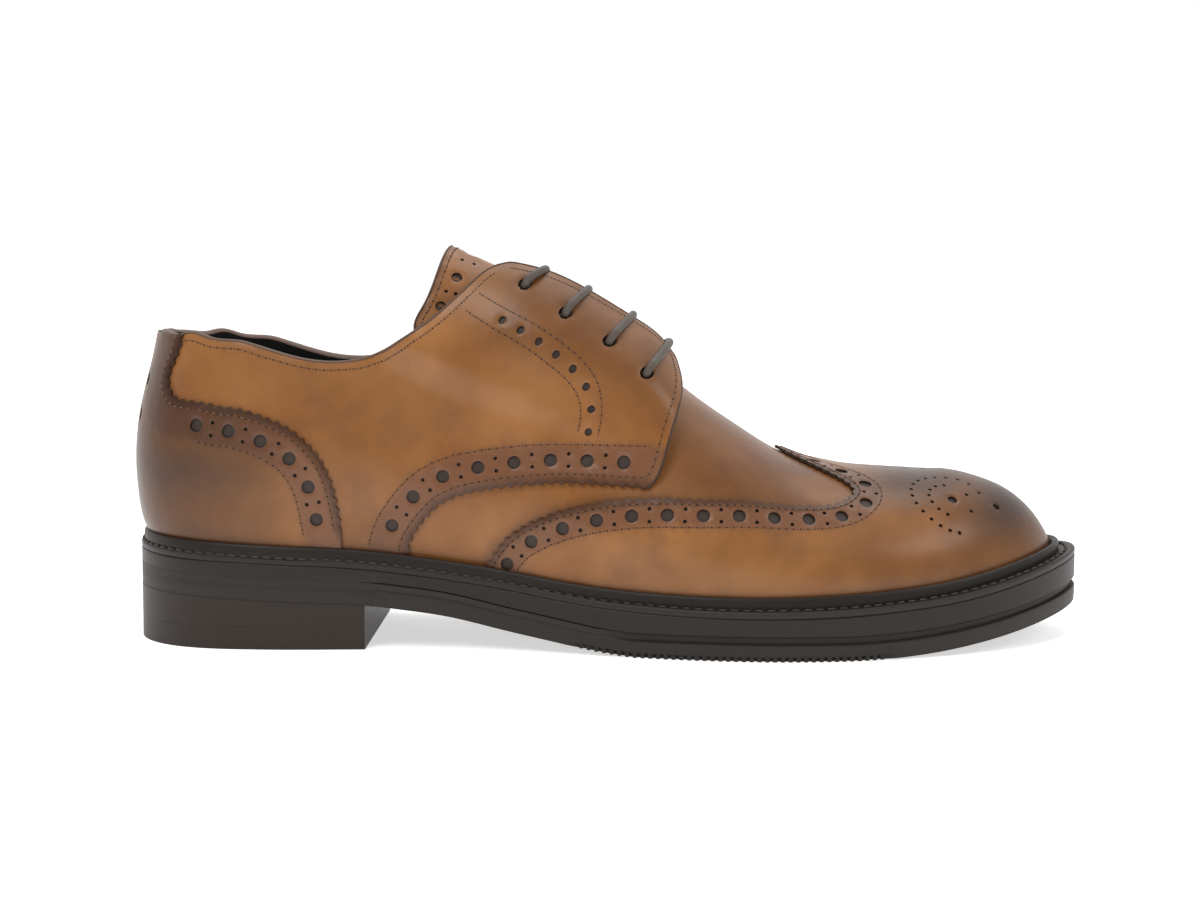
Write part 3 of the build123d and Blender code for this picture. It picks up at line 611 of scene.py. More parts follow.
def sole_bottom(x):
    """Height of the sole's underside."""
    return np.where(x < 8, sole_back(x), np.where(x > SOLE_FLAT_END, sole_front(x), 0.0))


def upper_wall(u):
    """How far out from the last the welt's inner wall stands: further where the counter is."""
    return 4.0 - 1.2 * step(-100, -80, u)


AROUND = np.concatenate([np.arange(HEEL - 90, HEEL, 3.0), np.arange(HEEL, TOE, 2.5),
                         np.arange(TOE, TOE + 90.1, 3.0)])


def around(outset, z):
    """Loop round the shoe: outset from the last's plan as a function of u, or None for the spine,
    at the height z, a function of x."""
    loops = []
    for side in (-1, 1):
        centre, dx, dy = section_rays(AROUND, side)
        if outset is None:
            reach = np.zeros_like(AROUND)
        else:
            reach = plan_radius(centre, dx, dy) + outset(AROUND)
        x = centre + reach * dx
        loops.append(np.stack([x, reach * dy, z(x)], 1))
    return np.concatenate([loops[0][:-1], loops[1][::-1][:-1]])


def loft(name, rings, material, closed=False, sharp=35):
    """Solid from loops round the shoe, given from the bottom up."""
    loops = np.stack([around(outset, z) for outset, z in rings], 1)
    count, levels = loops.shape[:2]
    faces = []
    for i in range(count):
        n = (i + 1) % count
        for k in range(levels if closed else levels - 1):
            m = (k + 1) % levels
            faces.append((i * levels + k, n * levels + k, n * levels + m, i * levels + m))
    thing = make_mesh(name, loops.reshape(-1, 3), faces, [material], sharp=sharp)
    if not closed:
        bm = bmesh.new()
        bm.from_mesh(thing.data)
        bmesh.ops.remove_doubles(bm, verts=bm.verts, dist=1e-6)
        bmesh.ops.dissolve_degenerate(bm, edges=bm.edges, dist=1e-7)
        bmesh.ops.recalc_face_normals(bm, faces=bm.faces)
        bm.to_mesh(thing.data)
        bm.free()
        thing.data.set_sharp_from_angle(angle=math.radians(sharp))
    return thing


# ---- materials ----
def new_material(name, colour, roughness, coat=0.0, specular=0.5):
    """Material with a Principled shader; returns it with its node tree and shader."""
    material = bpy.data.materials.new(name)
    material.use_nodes = True
    shader = material.node_tree.nodes["Principled BSDF"]
    for key, value in (("Base Color", (*colour, 1)), ("Roughness", roughness), ("Coat Weight", coat),
                       ("Coat Roughness", 0.2), ("Specular IOR Level", specular)):
        shader.inputs[key].default_value = value
    return material, material.node_tree, shader


def noise(tree, scale, detail=3.0, rough=0.55, stretch=None):
    """Noise in object space, scale in features per metre; returns its output socket."""
    coords = tree.nodes.new("ShaderNodeTexCoord")
    texture = tree.nodes.new("ShaderNodeTexNoise")
    for key, value in (("Scale", scale), ("Detail", detail), ("Roughness", rough)):
        texture.inputs[key].default_value = value
    source = coords.outputs["Object"]
    if stretch:
        mapping = tree.nodes.new("ShaderNodeMapping")
        mapping.inputs["Scale"].default_value = stretch
        tree.links.new(source, mapping.inputs["Vector"])
        source = mapping.outputs["Vector"]
    tree.links.new(source, texture.inputs["Vector"])
    return texture.outputs["Fac"]


def ramp(tree, socket, low, high, to_low=0.0, to_high=1.0):
    """Maps a value from one range to another, clamped."""
    node = tree.nodes.new("ShaderNodeMapRange")
    for key, value in (("From Min", low), ("From Max", high), ("To Min", to_low), ("To Max", to_high)):
        node.inputs[key].default_value = value
    tree.links.new(socket, node.inputs["Value"])
    return node.outputs["Result"]


def mix(tree, factor, first, second):
    """Mix of two colours, each a socket or a fixed colour."""
    node = tree.nodes.new("ShaderNodeMix")
    node.data_type = "RGBA"
    tree.links.new(factor, node.inputs["Factor"])
    for key, value in (("A", first), ("B", second)):
        socket = next(s for s in node.inputs if s.name == key and s.type == "RGBA")
        if isinstance(value, tuple):
            socket.default_value = (*value, 1)
        else:
            tree.links.new(value, socket)
    return next(s for s in node.outputs if s.type == "RGBA")


def attribute(tree, name):
    """Value of a mesh attribute."""
    node = tree.nodes.new("ShaderNodeAttribute")
    node.attribute_name = name
    return node.outputs["Fac"]


def bump(tree, shader, socket, depth, strength, after=None):
    """Bumps a value into the surface, depth in metres, on top of another bump if given."""
    node = tree.nodes.new("ShaderNodeBump")
    node.inputs["Distance"].default_value = depth
    node.inputs["Strength"].default_value = strength
    tree.links.new(socket, node.inputs["Height"])
    if after:
        tree.links.new(after, node.inputs["Normal"])
    tree.links.new(node.outputs["Normal"], shader.inputs["Normal"])
    return node.outputs["Normal"]


def plain(name, colour, roughness):
    """Material of one colour."""
    return new_material(name, colour, roughness)[0]


def grained(name, colour, roughness, grain, depth, strength, specular=0.5):
    """Material of one colour with a grain bumped into it: grain is what noise is given."""
    material, tree, shader = new_material(name, colour, roughness, specular=specular)
    bump(tree, shader, noise(tree, *grain), depth, strength)
    return material


def patina_leather(name, light, mid, band, dark):
    """Burnished calf: mottled between light and mid, redder in the brogued bands, and dark where
    the burn and shade attribute says: polished with dark wax, darker along the hem, and painted shade on
    the vamp beside the wing cap's edge."""
    material, tree, shader = new_material(name, mid, 0.38, 0.12, 0.32)
    cloud = ramp(tree, noise(tree, 26, 3, 0.6), 0.36, 0.66)
    colour = mix(tree, cloud, mid, light)
    blotch = ramp(tree, noise(tree, 60, 4, 0.6), 0.5, 0.8, 0, 0.6)
    colour = mix(tree, blotch, colour, band)
    shadow = ramp(tree, noise(tree, 17, 4, 0.55), 0.5, 0.72, 0, 0.26)
    colour = mix(tree, shadow, colour, dark)
    colour = mix(tree, ramp(tree, attribute(tree, "band"), 0, 1, 0, 0.8), colour, band)
    # dark wax, darkening along the hem, and painted shade on the vamp, from the sheet's attribute
    colour = mix(tree, attribute(tree, "burn"), colour, dark)
    tree.links.new(colour, shader.inputs["Base Color"])
    grain = bump(tree, shader, noise(tree, 2600, 2, 0.6), 0.00006, 0.5)
    bump(tree, shader, noise(tree, 240, 4, 0.6), 0.0004, 0.35, grain)
    return material


LEATHER_LIGHT = (0.33, 0.138, 0.040)
LEATHER_MID = (0.235, 0.086, 0.019)
LEATHER_BAND = (0.155, 0.064, 0.032)
LEATHER_DARK = (0.028, 0.010, 0.004)

tan = patina_leather("tan_calf", LEATHER_LIGHT, LEATHER_MID, LEATHER_BAND, LEATHER_DARK)
amber = patina_leather("amber_calf", (0.245, 0.094, 0.020), (0.18, 0.062, 0.010), (0.13, 0.05, 0.02),
                       LEATHER_DARK)
edge_leather = plain("burnt_edge", (0.045, 0.02, 0.009), 0.6)
# near-black painted shade down in the brogue holes, on their floors and walls
pit_shade = plain("brogue_hole_shade", (0.032, 0.017, 0.010), 0.55)
bead_leather = plain("topline_edge", (0.085, 0.036, 0.014), 0.5)
lining_leather = grained("black_lining", (0.012, 0.011, 0.011), 0.5, (1800, 2), 0.00006, 0.4)
thread_brown = plain("brown_thread", (0.13, 0.055, 0.02), 0.6)
# dark marks that paint the shade in the needle holes between stitches
needle_hole_shade = plain("needle_hole_shade", (0.02, 0.009, 0.005), 0.8)
rubber = grained("brown_black_rubber", (0.017, 0.012, 0.009), 0.45, (900, 3), 0.00008, 0.4, 0.3)
tread_rubber = grained("tread_rubber", (0.024, 0.018, 0.014), 0.55, (900, 3), 0.00008, 0.5, 0.3)
heel_rubber = grained("heel_rubber", (0.027, 0.019, 0.014), 0.5, (700, 3, 0.6, (0.4, 0.4, 2.0)),
                      0.00008, 0.5, 0.3)
welt_thread = plain("welt_thread", (0.022, 0.015, 0.011), 0.6)
sock = plain("sock_leather", (0.035, 0.026, 0.020), 0.6)
cotton = grained("waxed_lace", (0.075, 0.058, 0.046), 0.55, (1500, 2), 0.00015, 0.7)
plain_fibre = plain("fibre_board", (0.10, 0.07, 0.045), 0.8)
cork_mass = plain("cork_mass", (0.22, 0.13, 0.07), 0.9)
steel, _, steel_shader = new_material("shank_steel", (0.5, 0.5, 0.5), 0.4)
steel_shader.inputs["Metallic"].default_value = 1
# LEATHER and AMBER give a sheet its face, its cut edges and back, and the painted shade in its holes
LEATHER = [tan, edge_leather, pit_shade]
AMBER = [amber, edge_leather, pit_shade]
LINED = [lining_leather] * 3

# ---- layers and pattern ----
LINING, INNER, OUTER, COVER, TRIM = (-1.4, -0.6), (0.0, 0.9), (1.2, 2.45), (2.5, 3.75), (1.0, 1.9)
TOPLINE = [fan(0, 84.2), fan(10, 77.8), fan(20, 73), fan(30, 69.8), fan(41, 67.4), fan(50, 65),
           (-138, 59.5), (-112, 65), (-95, 64.5), (-83, 60.5), (-73, 54), (-62, 43), (-52, 31),
           (-43, 18.5), (-38, 12.5), (-33, 9.5)]
FACING_EDGE = [(-33, 9.5), (-22, 9), (-8, 9), (4, 9), (12, 9.5), (16.5, 12)]
FACING_FRONT = [(12.2, 57), (14.6, 53), (17.6, 42), (19.4, 30), (19.5, 21), (16.5, 12)]
QUARTER_EDGE = [(-61.5, 109), (-60.5, 104.5), (-57.5, 98), (-52, 89.5), (-44.5, 82.8), (-35, 77.6),
                (-26, 73.4), (-14, 68.3), (-2, 63.3), (12.2, 57)]
VAMP_BACK = [(-70, 108), (-66.5, 98), (-58, 85), (-49, 76), (-29, 66), (-5, 56), (5, 49), (10, 38),
             (13.6, 20), (15, 0)]
WING_EDGE = [(-37.7, 104), (-35.2, 99), (-31.5, 92.5), (-23, 83.5), (-9, 73.3), (10, 61.6), (28, 52.3),
             (45, 44.6), (60, 38.8), (69, 35), (74.3, 30.5), (76, 26.4), (74, 22), (68, 15.8), (60.5, 9),
             (55.5, 4), (53.5, 0)]
WING_UNDERLAP = [(-28, 104), (-20, 94), (-2, 80), (20, 66.5), (45, 55), (66, 46), (80, 38), (87, 28),
                 (84, 18), (74, 8), (66, 0)]
COUNTER_EDGE = [(-81.5, 111), (-83, 102.5), (-86.6, 93.5), (-94, 88), (-104, 86.3), fan(80, 85.6),
                fan(64, 85.2), fan(52, 86), fan(45, 84.5), fan(41.5, 81), fan(43, 76), fan(45.5, 70),
                fan(46, 66.6)]
TONGUE_ROOT = [(5.5, 34), (11, 18), (14, 0)]
TONGUE_TOP = [(-58.5, 42.5), (-60, 38), (-58, 31), (-53.6, 16), (-50.5, 0)]
TRIM_ROOT = [(-43.5, 40.6), (-40.5, 32), (-36, 16), (-33, 0)]
LINING_SPLIT = [(-46, 100), (-38, 84), (-24, 71), (-6, 60), (3, 53.5)]
LINING_FRONT = [(3, 53.5), (6.5, 46), (9.5, 40), (15, 36.5), (17, 26), (16, 12)]
FACING_BAND = [(-43, 24.7), (-31, 28.2), (-24.5, 29.8), (-18, 31.8), (-12, 33.9), (-6.8, 37.5), (-5, 43),
               (-6, 50.5)]
EYELETS = [(-28, 15.5), (-15.5, 20), (-2.5, 22.5), (9, 26.5)]
BIG_HOLE, SMALL_HOLE, FACING_HOLE, LACE_HOLE = 2.05, 0.62, 1.15, 2.0
SMALL_ROW = 1.9   # how far the small holes lie from the row of big ones
STITCH_PITCH = 2.25
# the needle's holes are small dark marks of painted shade sunk into the leather
STITCH_SIZE, NEEDLE_SHADE_SIZE = (1.45, 0.25), (0.75, 0.34)   # length and radius
STITCH_SINK, NEEDLE_SHADE_SINK = 0.08, 0.16
# how dark wax makes the leather at its edges, and how much darker it is along the hem just above the
# welt
EDGE_BURN, HEM_DARKENING = 0.85, 0.55

threads = Thread()
# painted shade of the needle holes
needle_shades = Thread()


def stitch(line, layer_top, lifted=False, start=1.0):
    """A row of stitches and, between them, small dark marks of painted shade where the needle's holes
    are.
    """
    between = start + STITCH_PITCH / 2
    end = 1.0 + STITCH_PITCH / 2
    threads.row(line, layer_top - STITCH_SINK, lifted, STITCH_PITCH, *STITCH_SIZE, start, 1.0)
    needle_shades.row(line, layer_top - NEEDLE_SHADE_SINK, lifted, STITCH_PITCH, *NEEDLE_SHADE_SIZE, between, end)


def towards(line, reach, outline):
    """Curve beside another at a real distance, on the inner side of an outline."""
    for sign in (1, -1):
        shifted = beside(line, sign * reach)
        if inside(shifted[len(line) // 2][None], outline)[0]:
            return shifted
    return beside(line, -reach)


def brogue(edge, outline, middle, pitch, start, end, layer_top, rows, lifted=False):
    """Band along a pinked edge: big holes with pairs of small ones between, and rows of stitches
    at given distances from the edge. Returns the holes."""
    line = towards(edge, middle, outline)
    big = spaced(line, pitch, start, end)
    run = run_of(on_last(line, ALONG))
    at = start + (np.arange(len(big) - 1) + 0.5) * (run[-1] - start - end) / (len(big) - 1)
    pits = [(c, BIG_HOLE) for c in big]
    for reach in (-SMALL_ROW, SMALL_ROW):
        pits += [(c, SMALL_HOLE) for c in part_way(at, run, beside(line, reach))]
    for reach in rows:
        stitch(towards(edge, reach, outline), layer_top, lifted)
    return pits


def tone_of(edges, band_width=None, burn_width=3.2, shade=None):
    """Function that gives a sheet its burn and shade and its band: dark at some edges, along the hem and
    where a shade function says (on the vamp this includes painted shade), and redder in a band beside
    those edges."""
    lines = [on_last(e, ACROSS) for e in edges]

    def tone(flat, base):
        x, up = base[:, 0], base[:, 2] - feather(base[:, 0])
        # darker along the hem, just above the welt
        burn = HEM_DARKENING * (1 - step(-3, 5.5, up))
        bands = np.zeros(len(flat))
        for line in lines:
            away = distance(base, line)
            burn = np.maximum(burn, EDGE_BURN * (1 - step(0.6, burn_width, away)))
            if band_width:
                bands = np.maximum(bands, 1 - step(band_width - 1.2, band_width + 0.6, away))
        if shade:
            burn = 1 - (1 - burn) * (1 - shade(x, up, flat))
        return {"burn": np.clip(burn, 0, 1), "band": np.clip(bands, 0, 1)}
    return tone


# ---- the uppers ----
def toe_shade(x, up, flat):
    """Dark wax over the toe's tip and crown, and a little down its sides."""
    tip = 0.97 * step(90, 128, x) * (0.35 + 0.65 * step(1, 18, up))
    crown = 0.86 * step(66, 96, x) * step(16, 31, up)
    side = 0.15 * step(55, 82, x)
    return np.maximum(np.maximum(tip, crown), side)


def build_forepart():
    """Wing cap and vamp."""
    wing = mirrored(smooth(WING_EDGE))
    low = mirrored(hem(-38, TOE + 90))
    outline = np.concatenate([pinked(wing), low[::-1]])
    loop = np.concatenate([wing, low[::-1]])
    pits = []
    for side in (1, -1):
        edge = smooth(WING_EDGE) * (1, side)
        pits += brogue(edge, loop, 5.0, 11.0, 6.0, 2.0, OUTER[1], (1.7, 8.6))
    pits += medallion()
    tone = tone_of([wing], 8.8, shade=toe_shade)
    cap = wrap("wing_cap_leather", outline, OUTER, LEATHER, pits=pits, spacing=2.5, tone=tone)
    finish_piece(cap, ["wing_cap"])

    low = mirrored(np.concatenate([hem(-70, -30, up=0.5, count=12), WING_UNDERLAP]))
    outline = np.concatenate([mirrored(smooth(VAMP_BACK)), low[::-1]])

    def vamp_shade(x, up, flat):
        # dark wax beside the wing cap's edge, with painted shade where its raised edge overhangs the
        # vamp
        wing_edge_wax_and_shade = 0.35 * (1 - step(0, 4.0, distance(on_last(flat, ACROSS), on_last(wing, ACROSS))))
        fold = 0.38 * step(4, 30, x)
        return np.maximum(wing_edge_wax_and_shade, fold)

    tone = tone_of([], shade=vamp_shade)
    vamp = wrap("vamp_leather", outline, INNER, LEATHER, spacing=2.8, tone=tone)
    finish_piece(vamp, ["vamp"])


def medallion():
    """Punched pattern on the toe: two open rings about a big hole, on each side of the centre."""
    pits = []
    for side in (1, -1):
        heart = np.array([[107.0, 24.0 * side]])
        a, b = (v[0] for v in metric(heart)[:2])
        first = unit(a)
        second = unit(b - first * (b @ first))

        def at(radius, degrees):
            turn = math.radians(degrees)
            real = radius * (math.cos(turn) * first + side * math.sin(turn) * second)
            return heart[0] + to_pattern(heart, real[None])[0]

        pits += [(at(12.5, t), SMALL_HOLE) for t in range(75, 300, 16)]
        pits += [(at(7.0, t), SMALL_HOLE) for t in range(100, 270, 26)]
        pits.append((at(0.5, 0), 1.5))
        pits.append((at(16, -18), 1.2))
        pits += [(at(r, -40), SMALL_HOLE) for r in (6.5, 12)]
        pits.append((at(7, 20), SMALL_HOLE))
    pits += [((x, 0.01), SMALL_HOLE) for x in range(84, 133, 6)]
    return pits


def heel_shade(x, up, flat):
    """Dark wax over the counter, deeper at the back and in a cloud across its middle."""
    back = 0.4 * (1 - step(-150, -110, x))
    cloud = 0.42 * np.exp(-((up - 24) / 7.5)**2) * (1 - step(-116, -92, x))
    whole = 0.52 * (1 - step(-118, -84, x))
    return 1 - (1 - back) * (1 - cloud) * (1 - whole)


def build_heel():
    """The counter's cover, with its neck up the back seam."""
    edge = smooth(COUNTER_EDGE)
    top = smooth(TOPLINE[:6], 80)
    top = np.concatenate([edge[-1:], top[top[:, 1] < edge[-1, 1] - 1][::-1]])
    whole = np.concatenate([pinked(edge), top[1:]])
    low = mirrored(hem(-81.5, HEEL - 90))
    outline = np.concatenate([mirrored(whole), low[::-1]])
    loop = np.concatenate([mirrored(np.concatenate([edge, top[1:]])), low[::-1]])
    pits = []
    for side in (1, -1):
        line = edge * (1, side)
        head = line[:int(len(line) * 0.62)]
        pits += brogue(head, loop, 6.9, 9.7, 4.6, 0.5, COVER[1], (2.2, 11.6))
        neck = line[int(len(line) * 0.66):]
        stitch(towards(neck, 2.2, loop), COVER[1])
    pits += [(fan(degrees, reach), BIG_HOLE) for degrees in (-17, 17) for reach in (90, 101)]
    tone = tone_of([edge, edge * (1, -1)], 12.0, shade=heel_shade)
    cover = wrap("counter_leather", outline, COVER, LEATHER, pits=pits, tone=tone)
    finish_piece(cover, ["heel_counter_cover"])


def quarter_shade(x, up, flat):
    """Dark wax round the facing holes, and a soft cloud at the quarter's middle."""
    facing = 0.36 * step(-50, -30, flat[:, 0]) * (1 - step(28, 42, np.abs(flat[:, 1])))
    middle = 0.15 * np.exp(-((x + 78) / 15)**2)
    return np.maximum(facing, middle)


def from_seam(line, side):
    """Curve of one side that starts at the back seam, its first point just off it."""
    line = line * (1, side)
    line[0, 1] = 0.1 * side
    return line


def build_side(name, side):
    """Quarter with its beaded edges, and its lining."""
    low = from_seam(hem(HEEL - 90, -63), side)
    edge = smooth(QUARTER_EDGE) * (1, side)
    front = smooth(FACING_FRONT, 40) * (1, side)
    top = smooth(TOPLINE)
    facing = smooth(FACING_EDGE, 40)
    crest = from_seam(np.concatenate([top, facing[1:]]), side)
    upper = [front[1:], crest[::-1][1:]]
    loop = np.concatenate([low, edge, *upper])
    outline = np.concatenate([low, pinked(edge), *upper])
    pits = brogue(edge, loop, 7.1, 12.0, 8.0, 8.0, OUTER[1], (2.7, 12.0), lifted=True)
    band = smooth(FACING_BAND, 80) * (1, side)
    pits += [(c, FACING_HOLE) for c in spaced(band, 6.8, 12.0, 1.0)]
    for reach in (-3.1, 3.1):
        stitch(beside(band, reach), OUTER[1], True)
    stitch(towards(front, 2.3, loop), OUTER[1], True, start=2)
    stitch(towards(facing * (1, side), 2.4, loop), OUTER[1], True)
    stitch(towards(top[8:-4] * (1, side), 2.6, loop), OUTER[1], True)
    holes = [((x, side * y), LACE_HOLE) for x, y in EYELETS]
    tone = tone_of([edge], 12.4, shade=quarter_shade)
    quarter = wrap(f"quarter_{name}_leather", outline, OUTER, LEATHER, pits, holes, True, tone=tone)
    finish_piece(quarter, [f"quarter_{name}"])
    finish_piece(bead(f"topline_edge_{name}", crest, 0.5, 1.95, 0.75, bead_leather, away=side))
    finish_piece(bead(f"facing_edge_{name}", front, 1.35, 1.0, 0.5, edge_leather, away=side))

    low = from_seam(np.concatenate([hem(HEEL - 90, -47, up=0.5), LINING_SPLIT]), side)
    lining_front = smooth(LINING_FRONT, 40) * (1, side)
    outline = np.concatenate([low, lining_front[1:], crest[:-6][::-1]])
    lining = wrap(f"lining_{name}", outline, LINING, LINED, holes=holes, lifted=True, spacing=4.0)
    finish_piece(lining, [f"quarter_lining_{name}"])


TRIM_HOLES = ((-47.6, 15.3), (-52, 27.5), (-47.6, -15.3), (-52, -27.5), (-44.5, 0.01))
TRIM_DOTS = ((-42.8, 7), (-46.5, 7.5), (-47.6, 21.2), (-50.6, 21.8), (-50.1, 33.5))


def build_tongue():
    """Tongue, its lining, and the band stitched across its top."""
    outline = np.concatenate([mirrored(smooth(TONGUE_TOP, 40)), mirrored(smooth(TONGUE_ROOT, 20))[::-1]])
    root = mirrored(smooth(TRIM_ROOT, 40))
    crown = mirrored(smooth(np.array(TONGUE_TOP) + (0.2, 0), 40))
    band = np.concatenate([crown, root[::-1]])
    pits = [(centre, 1.8) for centre in TRIM_HOLES]
    pits += [((x, s * y), SMALL_HOLE) for s in (-1, 1) for x, y in TRIM_DOTS]
    inner = wrap("tongue_leather", outline, (0.0, 1.0), AMBER, spacing=2.6, tone=tone_of([]))
    tone = tone_of([crown], burn_width=2.0)
    trim = wrap("tongue_trim_leather", band, TRIM, LEATHER, pits=pits, spacing=2.2, tone=tone)
    back = wrap("tongue_lining_leather", outline, LINING, LINED, spacing=4.0)
    for thing, node, slot in ((inner, "tongue", "leather_tan"), (trim, "tongue_trim", "leather_tan"),
                              (back, "tongue_lining", "leather_lining")):
        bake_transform(thing)
        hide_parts(node)
    sewn, prick_shades = Thread(), Thread()
    for line, reach in ((crown, 2.0), (root, 1.6)):
        near = towards(line, reach, band)
        sewn.row(near, TRIM[1] - STITCH_SINK, False, STITCH_PITCH, *STITCH_SIZE, 2, 2)
        # between the stitches, dark marks of painted shade for the needle holes
        prick_shades.row(near, TRIM[1] - NEEDLE_SHADE_SINK, False, STITCH_PITCH, *NEEDLE_SHADE_SIZE, 3.1, 3.1)
    finish_piece(sewn.make("tongue_stitches", thread_brown), body="tongue")
    finish_piece(prick_shades.make("tongue_needle_hole_shade", needle_hole_shade), body="tongue")
    rim = bead("tongue_edge", crown, 0.3, 1.65, 0.5, bead_leather, lifted=False)
    finish_piece(rim, body="tongue")


# ---- the sole ----
# Heights over the sole's underside and over the midsole's top, as functions of x, then reaches
# from the last's plan, as functions of u: the sole's edge, the same eased in ahead of the heel,
# with the groove, and cut back behind the teeth, and the welt's inner wall
def at(rise):
    return lambda x: sole_bottom(x) + rise


def over(rise):
    return lambda x: feather(x) - HEM_DROP + rise


def margin(less):
    return lambda u: edge_margin(u) - less


def eased(less):
    return lambda u: edge_margin(u) - 0.05 - less * step(-78, -68, u)


def grooved(less):
    return lambda u: edge_margin(u) - less * step(-78, -68, u) - GROOVE_DEPTH * step(-6, 12, u)


def toothed(less):
    return lambda u: edge_margin(u) - 0.1 - less * step(-12, -6, u) * (1 - step(80, 86, u))


def wall(more):
    return lambda u: upper_wall(u) + more


def build_sole():
    """Outsole, midsole, and the storm welt with its stitches."""
    tread = LOWER_BAND + GROOVE
    outsole = loft("outsole_rubber", [
        (None, at(0)), (margin(9), at(0)), (toothed(1.6), at(0)), (toothed(1.5), at(TOOTH - 0.3)),
        (margin(0), at(TOOTH)), (margin(0), at(LOWER_BAND - 0.5)), (eased(0.3), at(LOWER_BAND - 0.1)),
        (grooved(0.15), at(LOWER_BAND + 0.2)), (grooved(0.15), at(tread - 0.02)),
        (margin(6), at(tread - 0.02)), (None, at(tread - 0.02))], tread_rubber)
    finish_piece(outsole, ["outsole"])
    midsole = loft("midsole_rubber", [
        (None, at(tread)), (margin(6), at(tread)), (eased(0.5), at(tread)), (margin(0), at(tread + 0.5)),
        (margin(0), over(-0.5)), (margin(0.3), over(-0.15)), (margin(4), over(-0.15)),
        (None, over(-0.15))], rubber)
    finish_piece(midsole, ["midsole"])
    lip = HEM_DROP + WELT_LIP
    foot = LIP_WIDTH + 0.1
    welt = loft("storm_welt", [
        (wall(0), over(0)), (margin(0.2), over(0)), (margin(0), over(0.3)), (margin(0), over(1.5)),
        (margin(0.5), over(WELT_PLATE)), (wall(foot), over(WELT_PLATE)), (wall(LIP_WIDTH), over(2.5)),
        (wall(LIP_WIDTH), over(lip - 1.0)), (wall(1.8), over(lip - 0.3)), (wall(1.1), over(lip)),
        (wall(0.4), over(lip - 0.3)), (wall(0), over(lip - 1.0))], rubber, closed=True)
    finish_piece(welt, ["welt"])

    line = around(lambda u: (upper_wall(u) + foot + edge_margin(u) - 0.5) / 2, over(WELT_PLATE + 0.15))
    line = np.concatenate([line, line[:1]])
    run = run_of(line)
    marks = np.linspace(0, run[-1], int(run[-1] / WELT_STITCH_PITCH) + 1)[:-1]
    here = part_way(marks, run, line)
    up = np.tile([0.0, 0.0, 1.0], (len(here), 1))
    sewn = Thread()
    sewn.add(here, up, WELT_STITCH_LENGTH, WELT_STITCH_RADIUS)
    finish_piece(sewn.make("welt_stitches", welt_thread), ["welt_thread"])


def build_teeth():
    """Short teeth round the lower edge of the tread under the ball."""
    points, faces = [], []
    for side in (-1, 1):
        for x in np.arange(TEETH_START, TEETH_END, TOOTH_PITCH):
            reach = float(plan_radius(np.array([x]), np.array([0.0]), np.array([float(side)]))[0])
            outer = reach + float(edge_margin(x)) - 0.05
            low = float(sole_bottom(np.array(x)))
            half = TOOTH_PITCH / 4
            inner = outer - TEETH_DEPTH
            corners = [(x - half, inner), (x + half, inner), (x + half, outer), (x - half, outer)]
            o = len(points)
            points += [(px, side * py, low) for px, py in corners]
            points += [(px, side * py, low + TOOTH) for px, py in corners]
            ring = [(o, o + 1, o + 2, o + 3), (o + 7, o + 6, o + 5, o + 4), (o, o + 4, o + 5, o + 1),
                    (o + 1, o + 5, o + 6, o + 2), (o + 2, o + 6, o + 7, o + 3), (o + 3, o + 7, o + 4, o)]
            faces += [f[::-1] for f in ring] if side > 0 else ring
    teeth = make_mesh("tread_teeth", np.array(points), faces, [tread_rubber])
    finish_piece(teeth)


build_forepart()
build_heel()
build_side("lateral", -1)
build_side("medial", 1)
build_tongue()
build_sole()
build_teeth()
finish_piece(threads.make("upper_stitches", thread_brown))
# the needle holes' painted shade between the upper's stitches
finish_piece(needle_shades.make("upper_needle_hole_shade", needle_hole_shade))

# ---- CAD pieces kept as they are ----
KEPT = ((heel_rubber, "heel_block heel_top_lift"), (sock, "sock_lining"), (cork_mass, "cork_filler"),
        (steel, "shank heel_nails eyelets_lateral eyelets_medial"), (cotton, "lace lace_tips"),
        (lining_leather, "vamp_lining"),
        (plain_fibre, "insole heel_stiffener toe_puff facing_stay_lateral facing_stay_medial"),
        (plain_fibre, "topline_tape_lateral topline_tape_medial"))
for material, nodes in KEPT:
    for node in nodes.split():
        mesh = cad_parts[node].data
        mesh.materials.clear()
        mesh.materials.append(material)

# ---- stage ----
FRONT_SKY, BACK_SKY = 0.25, 1.05
KEY, OVERHEAD, TOE_SIDE = 8, 5, 2.5
FLOOR_REACH, FLOOR_GLOW = 6, 0.6
CAMERA_AT, CAMERA_TILT, LENS, SHIFT = (-2.3, -600, 112.5), 4.0, 55.92, -0.032


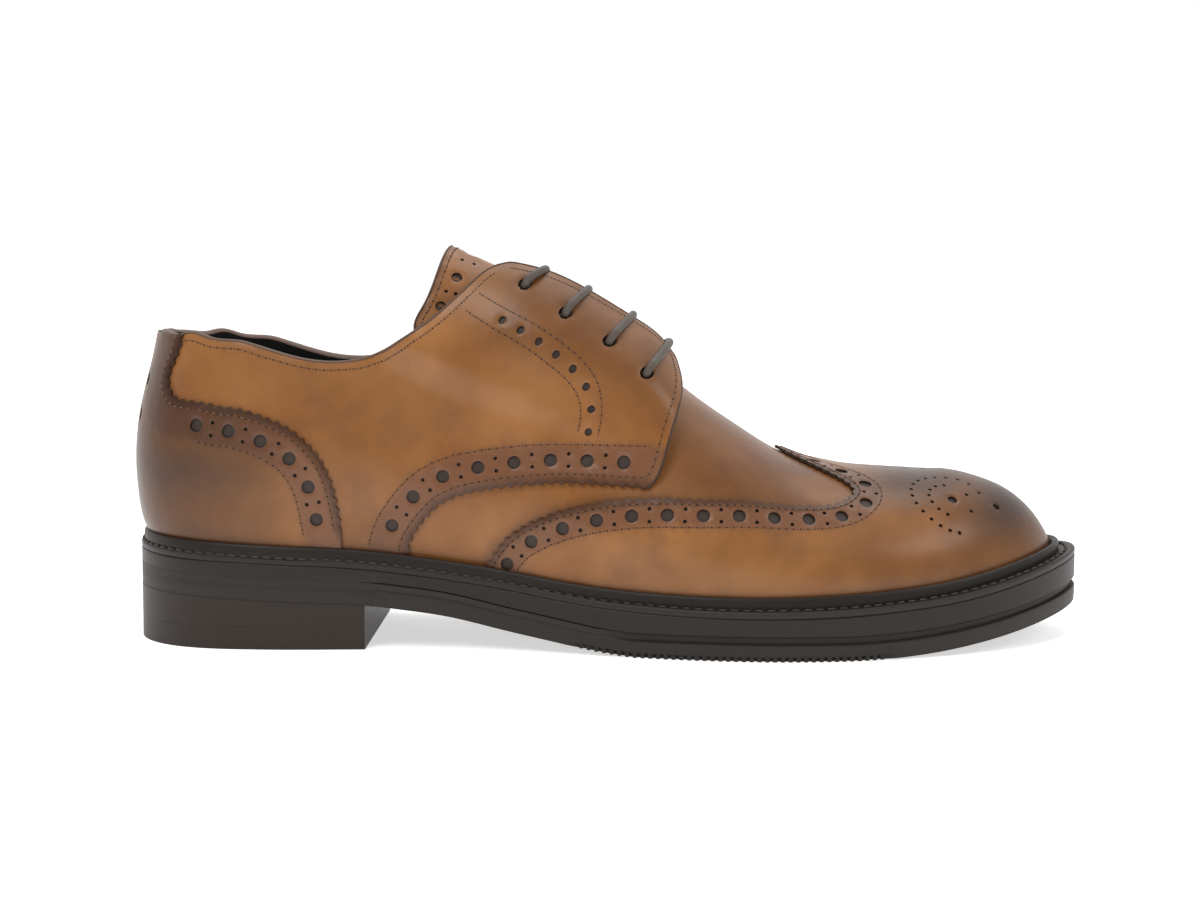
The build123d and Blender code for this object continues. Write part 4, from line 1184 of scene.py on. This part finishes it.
def area_light(name, spot, aim, width, depth, power):
    """Rectangular lamp at a spot, turned towards its aim."""
    data = bpy.data.lights.new(name, "AREA")
    data.shape = "RECTANGLE"
    data.size, data.size_y = width, depth
    data.energy = power
    thing = add_object(name, data)
    thing.location = spot
    thing.rotation_euler = (Vector(aim) - Vector(spot)).to_track_quat("-Z", "Y").to_euler()


floor_mesh = bpy.data.meshes.new("floor")
corners = [(x * FLOOR_REACH, y * FLOOR_REACH, 0) for x, y in ((-1, -1), (1, -1), (1, 1), (-1, 1))]
floor_mesh.from_pydata(corners, [], [(0, 1, 2, 3)])
floor_material, _, floor_shader = new_material("white_floor", (0.85, 0.85, 0.85), 0.8, specular=0.1)
floor_shader.inputs["Emission Color"].default_value = (1, 1, 1, 1)
floor_shader.inputs["Emission Strength"].default_value = FLOOR_GLOW
floor_mesh.materials.append(floor_material)
floor = add_object("floor", floor_mesh)

# The studio: white behind and above the shoe, dimmer in front of it
world = bpy.data.worlds.new("studio")
bpy.context.scene.world = world
world.use_nodes = True
sky = world.node_tree
background = sky.nodes["Background"]
background.inputs["Color"].default_value = (1, 1, 1, 1)
coords = sky.nodes.new("ShaderNodeTexCoord")
split = sky.nodes.new("ShaderNodeSeparateXYZ")
sky.links.new(coords.outputs["Generated"], split.inputs["Vector"])
glow = ramp(sky, split.outputs["Y"], -0.35, 0.35, FRONT_SKY, BACK_SKY)
sky.links.new(glow, background.inputs["Strength"])
area_light("key", (-0.45, -0.75, 1.15), (0, 0, 0.04), 0.55, 0.7, KEY)
area_light("overhead", (0.1, 0.25, 1.2), (0, 0, 0.04), 0.9, 0.9, OVERHEAD)
area_light("toe_side", (0.9, -0.45, 0.8), (0.08, 0, 0.04), 0.4, 0.4, TOE_SIDE)

camera_data = bpy.data.cameras.new("camera")
camera_data.lens = LENS
camera_data.sensor_width = 36
camera_data.shift_y = SHIFT
camera = add_object("camera", camera_data)
camera.location = (Vector(CENTRING) + Vector(CAMERA_AT)) * MM
camera.rotation_euler = (math.radians(90 - CAMERA_TILT), 0, 0)
bpy.context.scene.camera = camera
bpy.context.scene.view_settings.view_transform = "Standard"
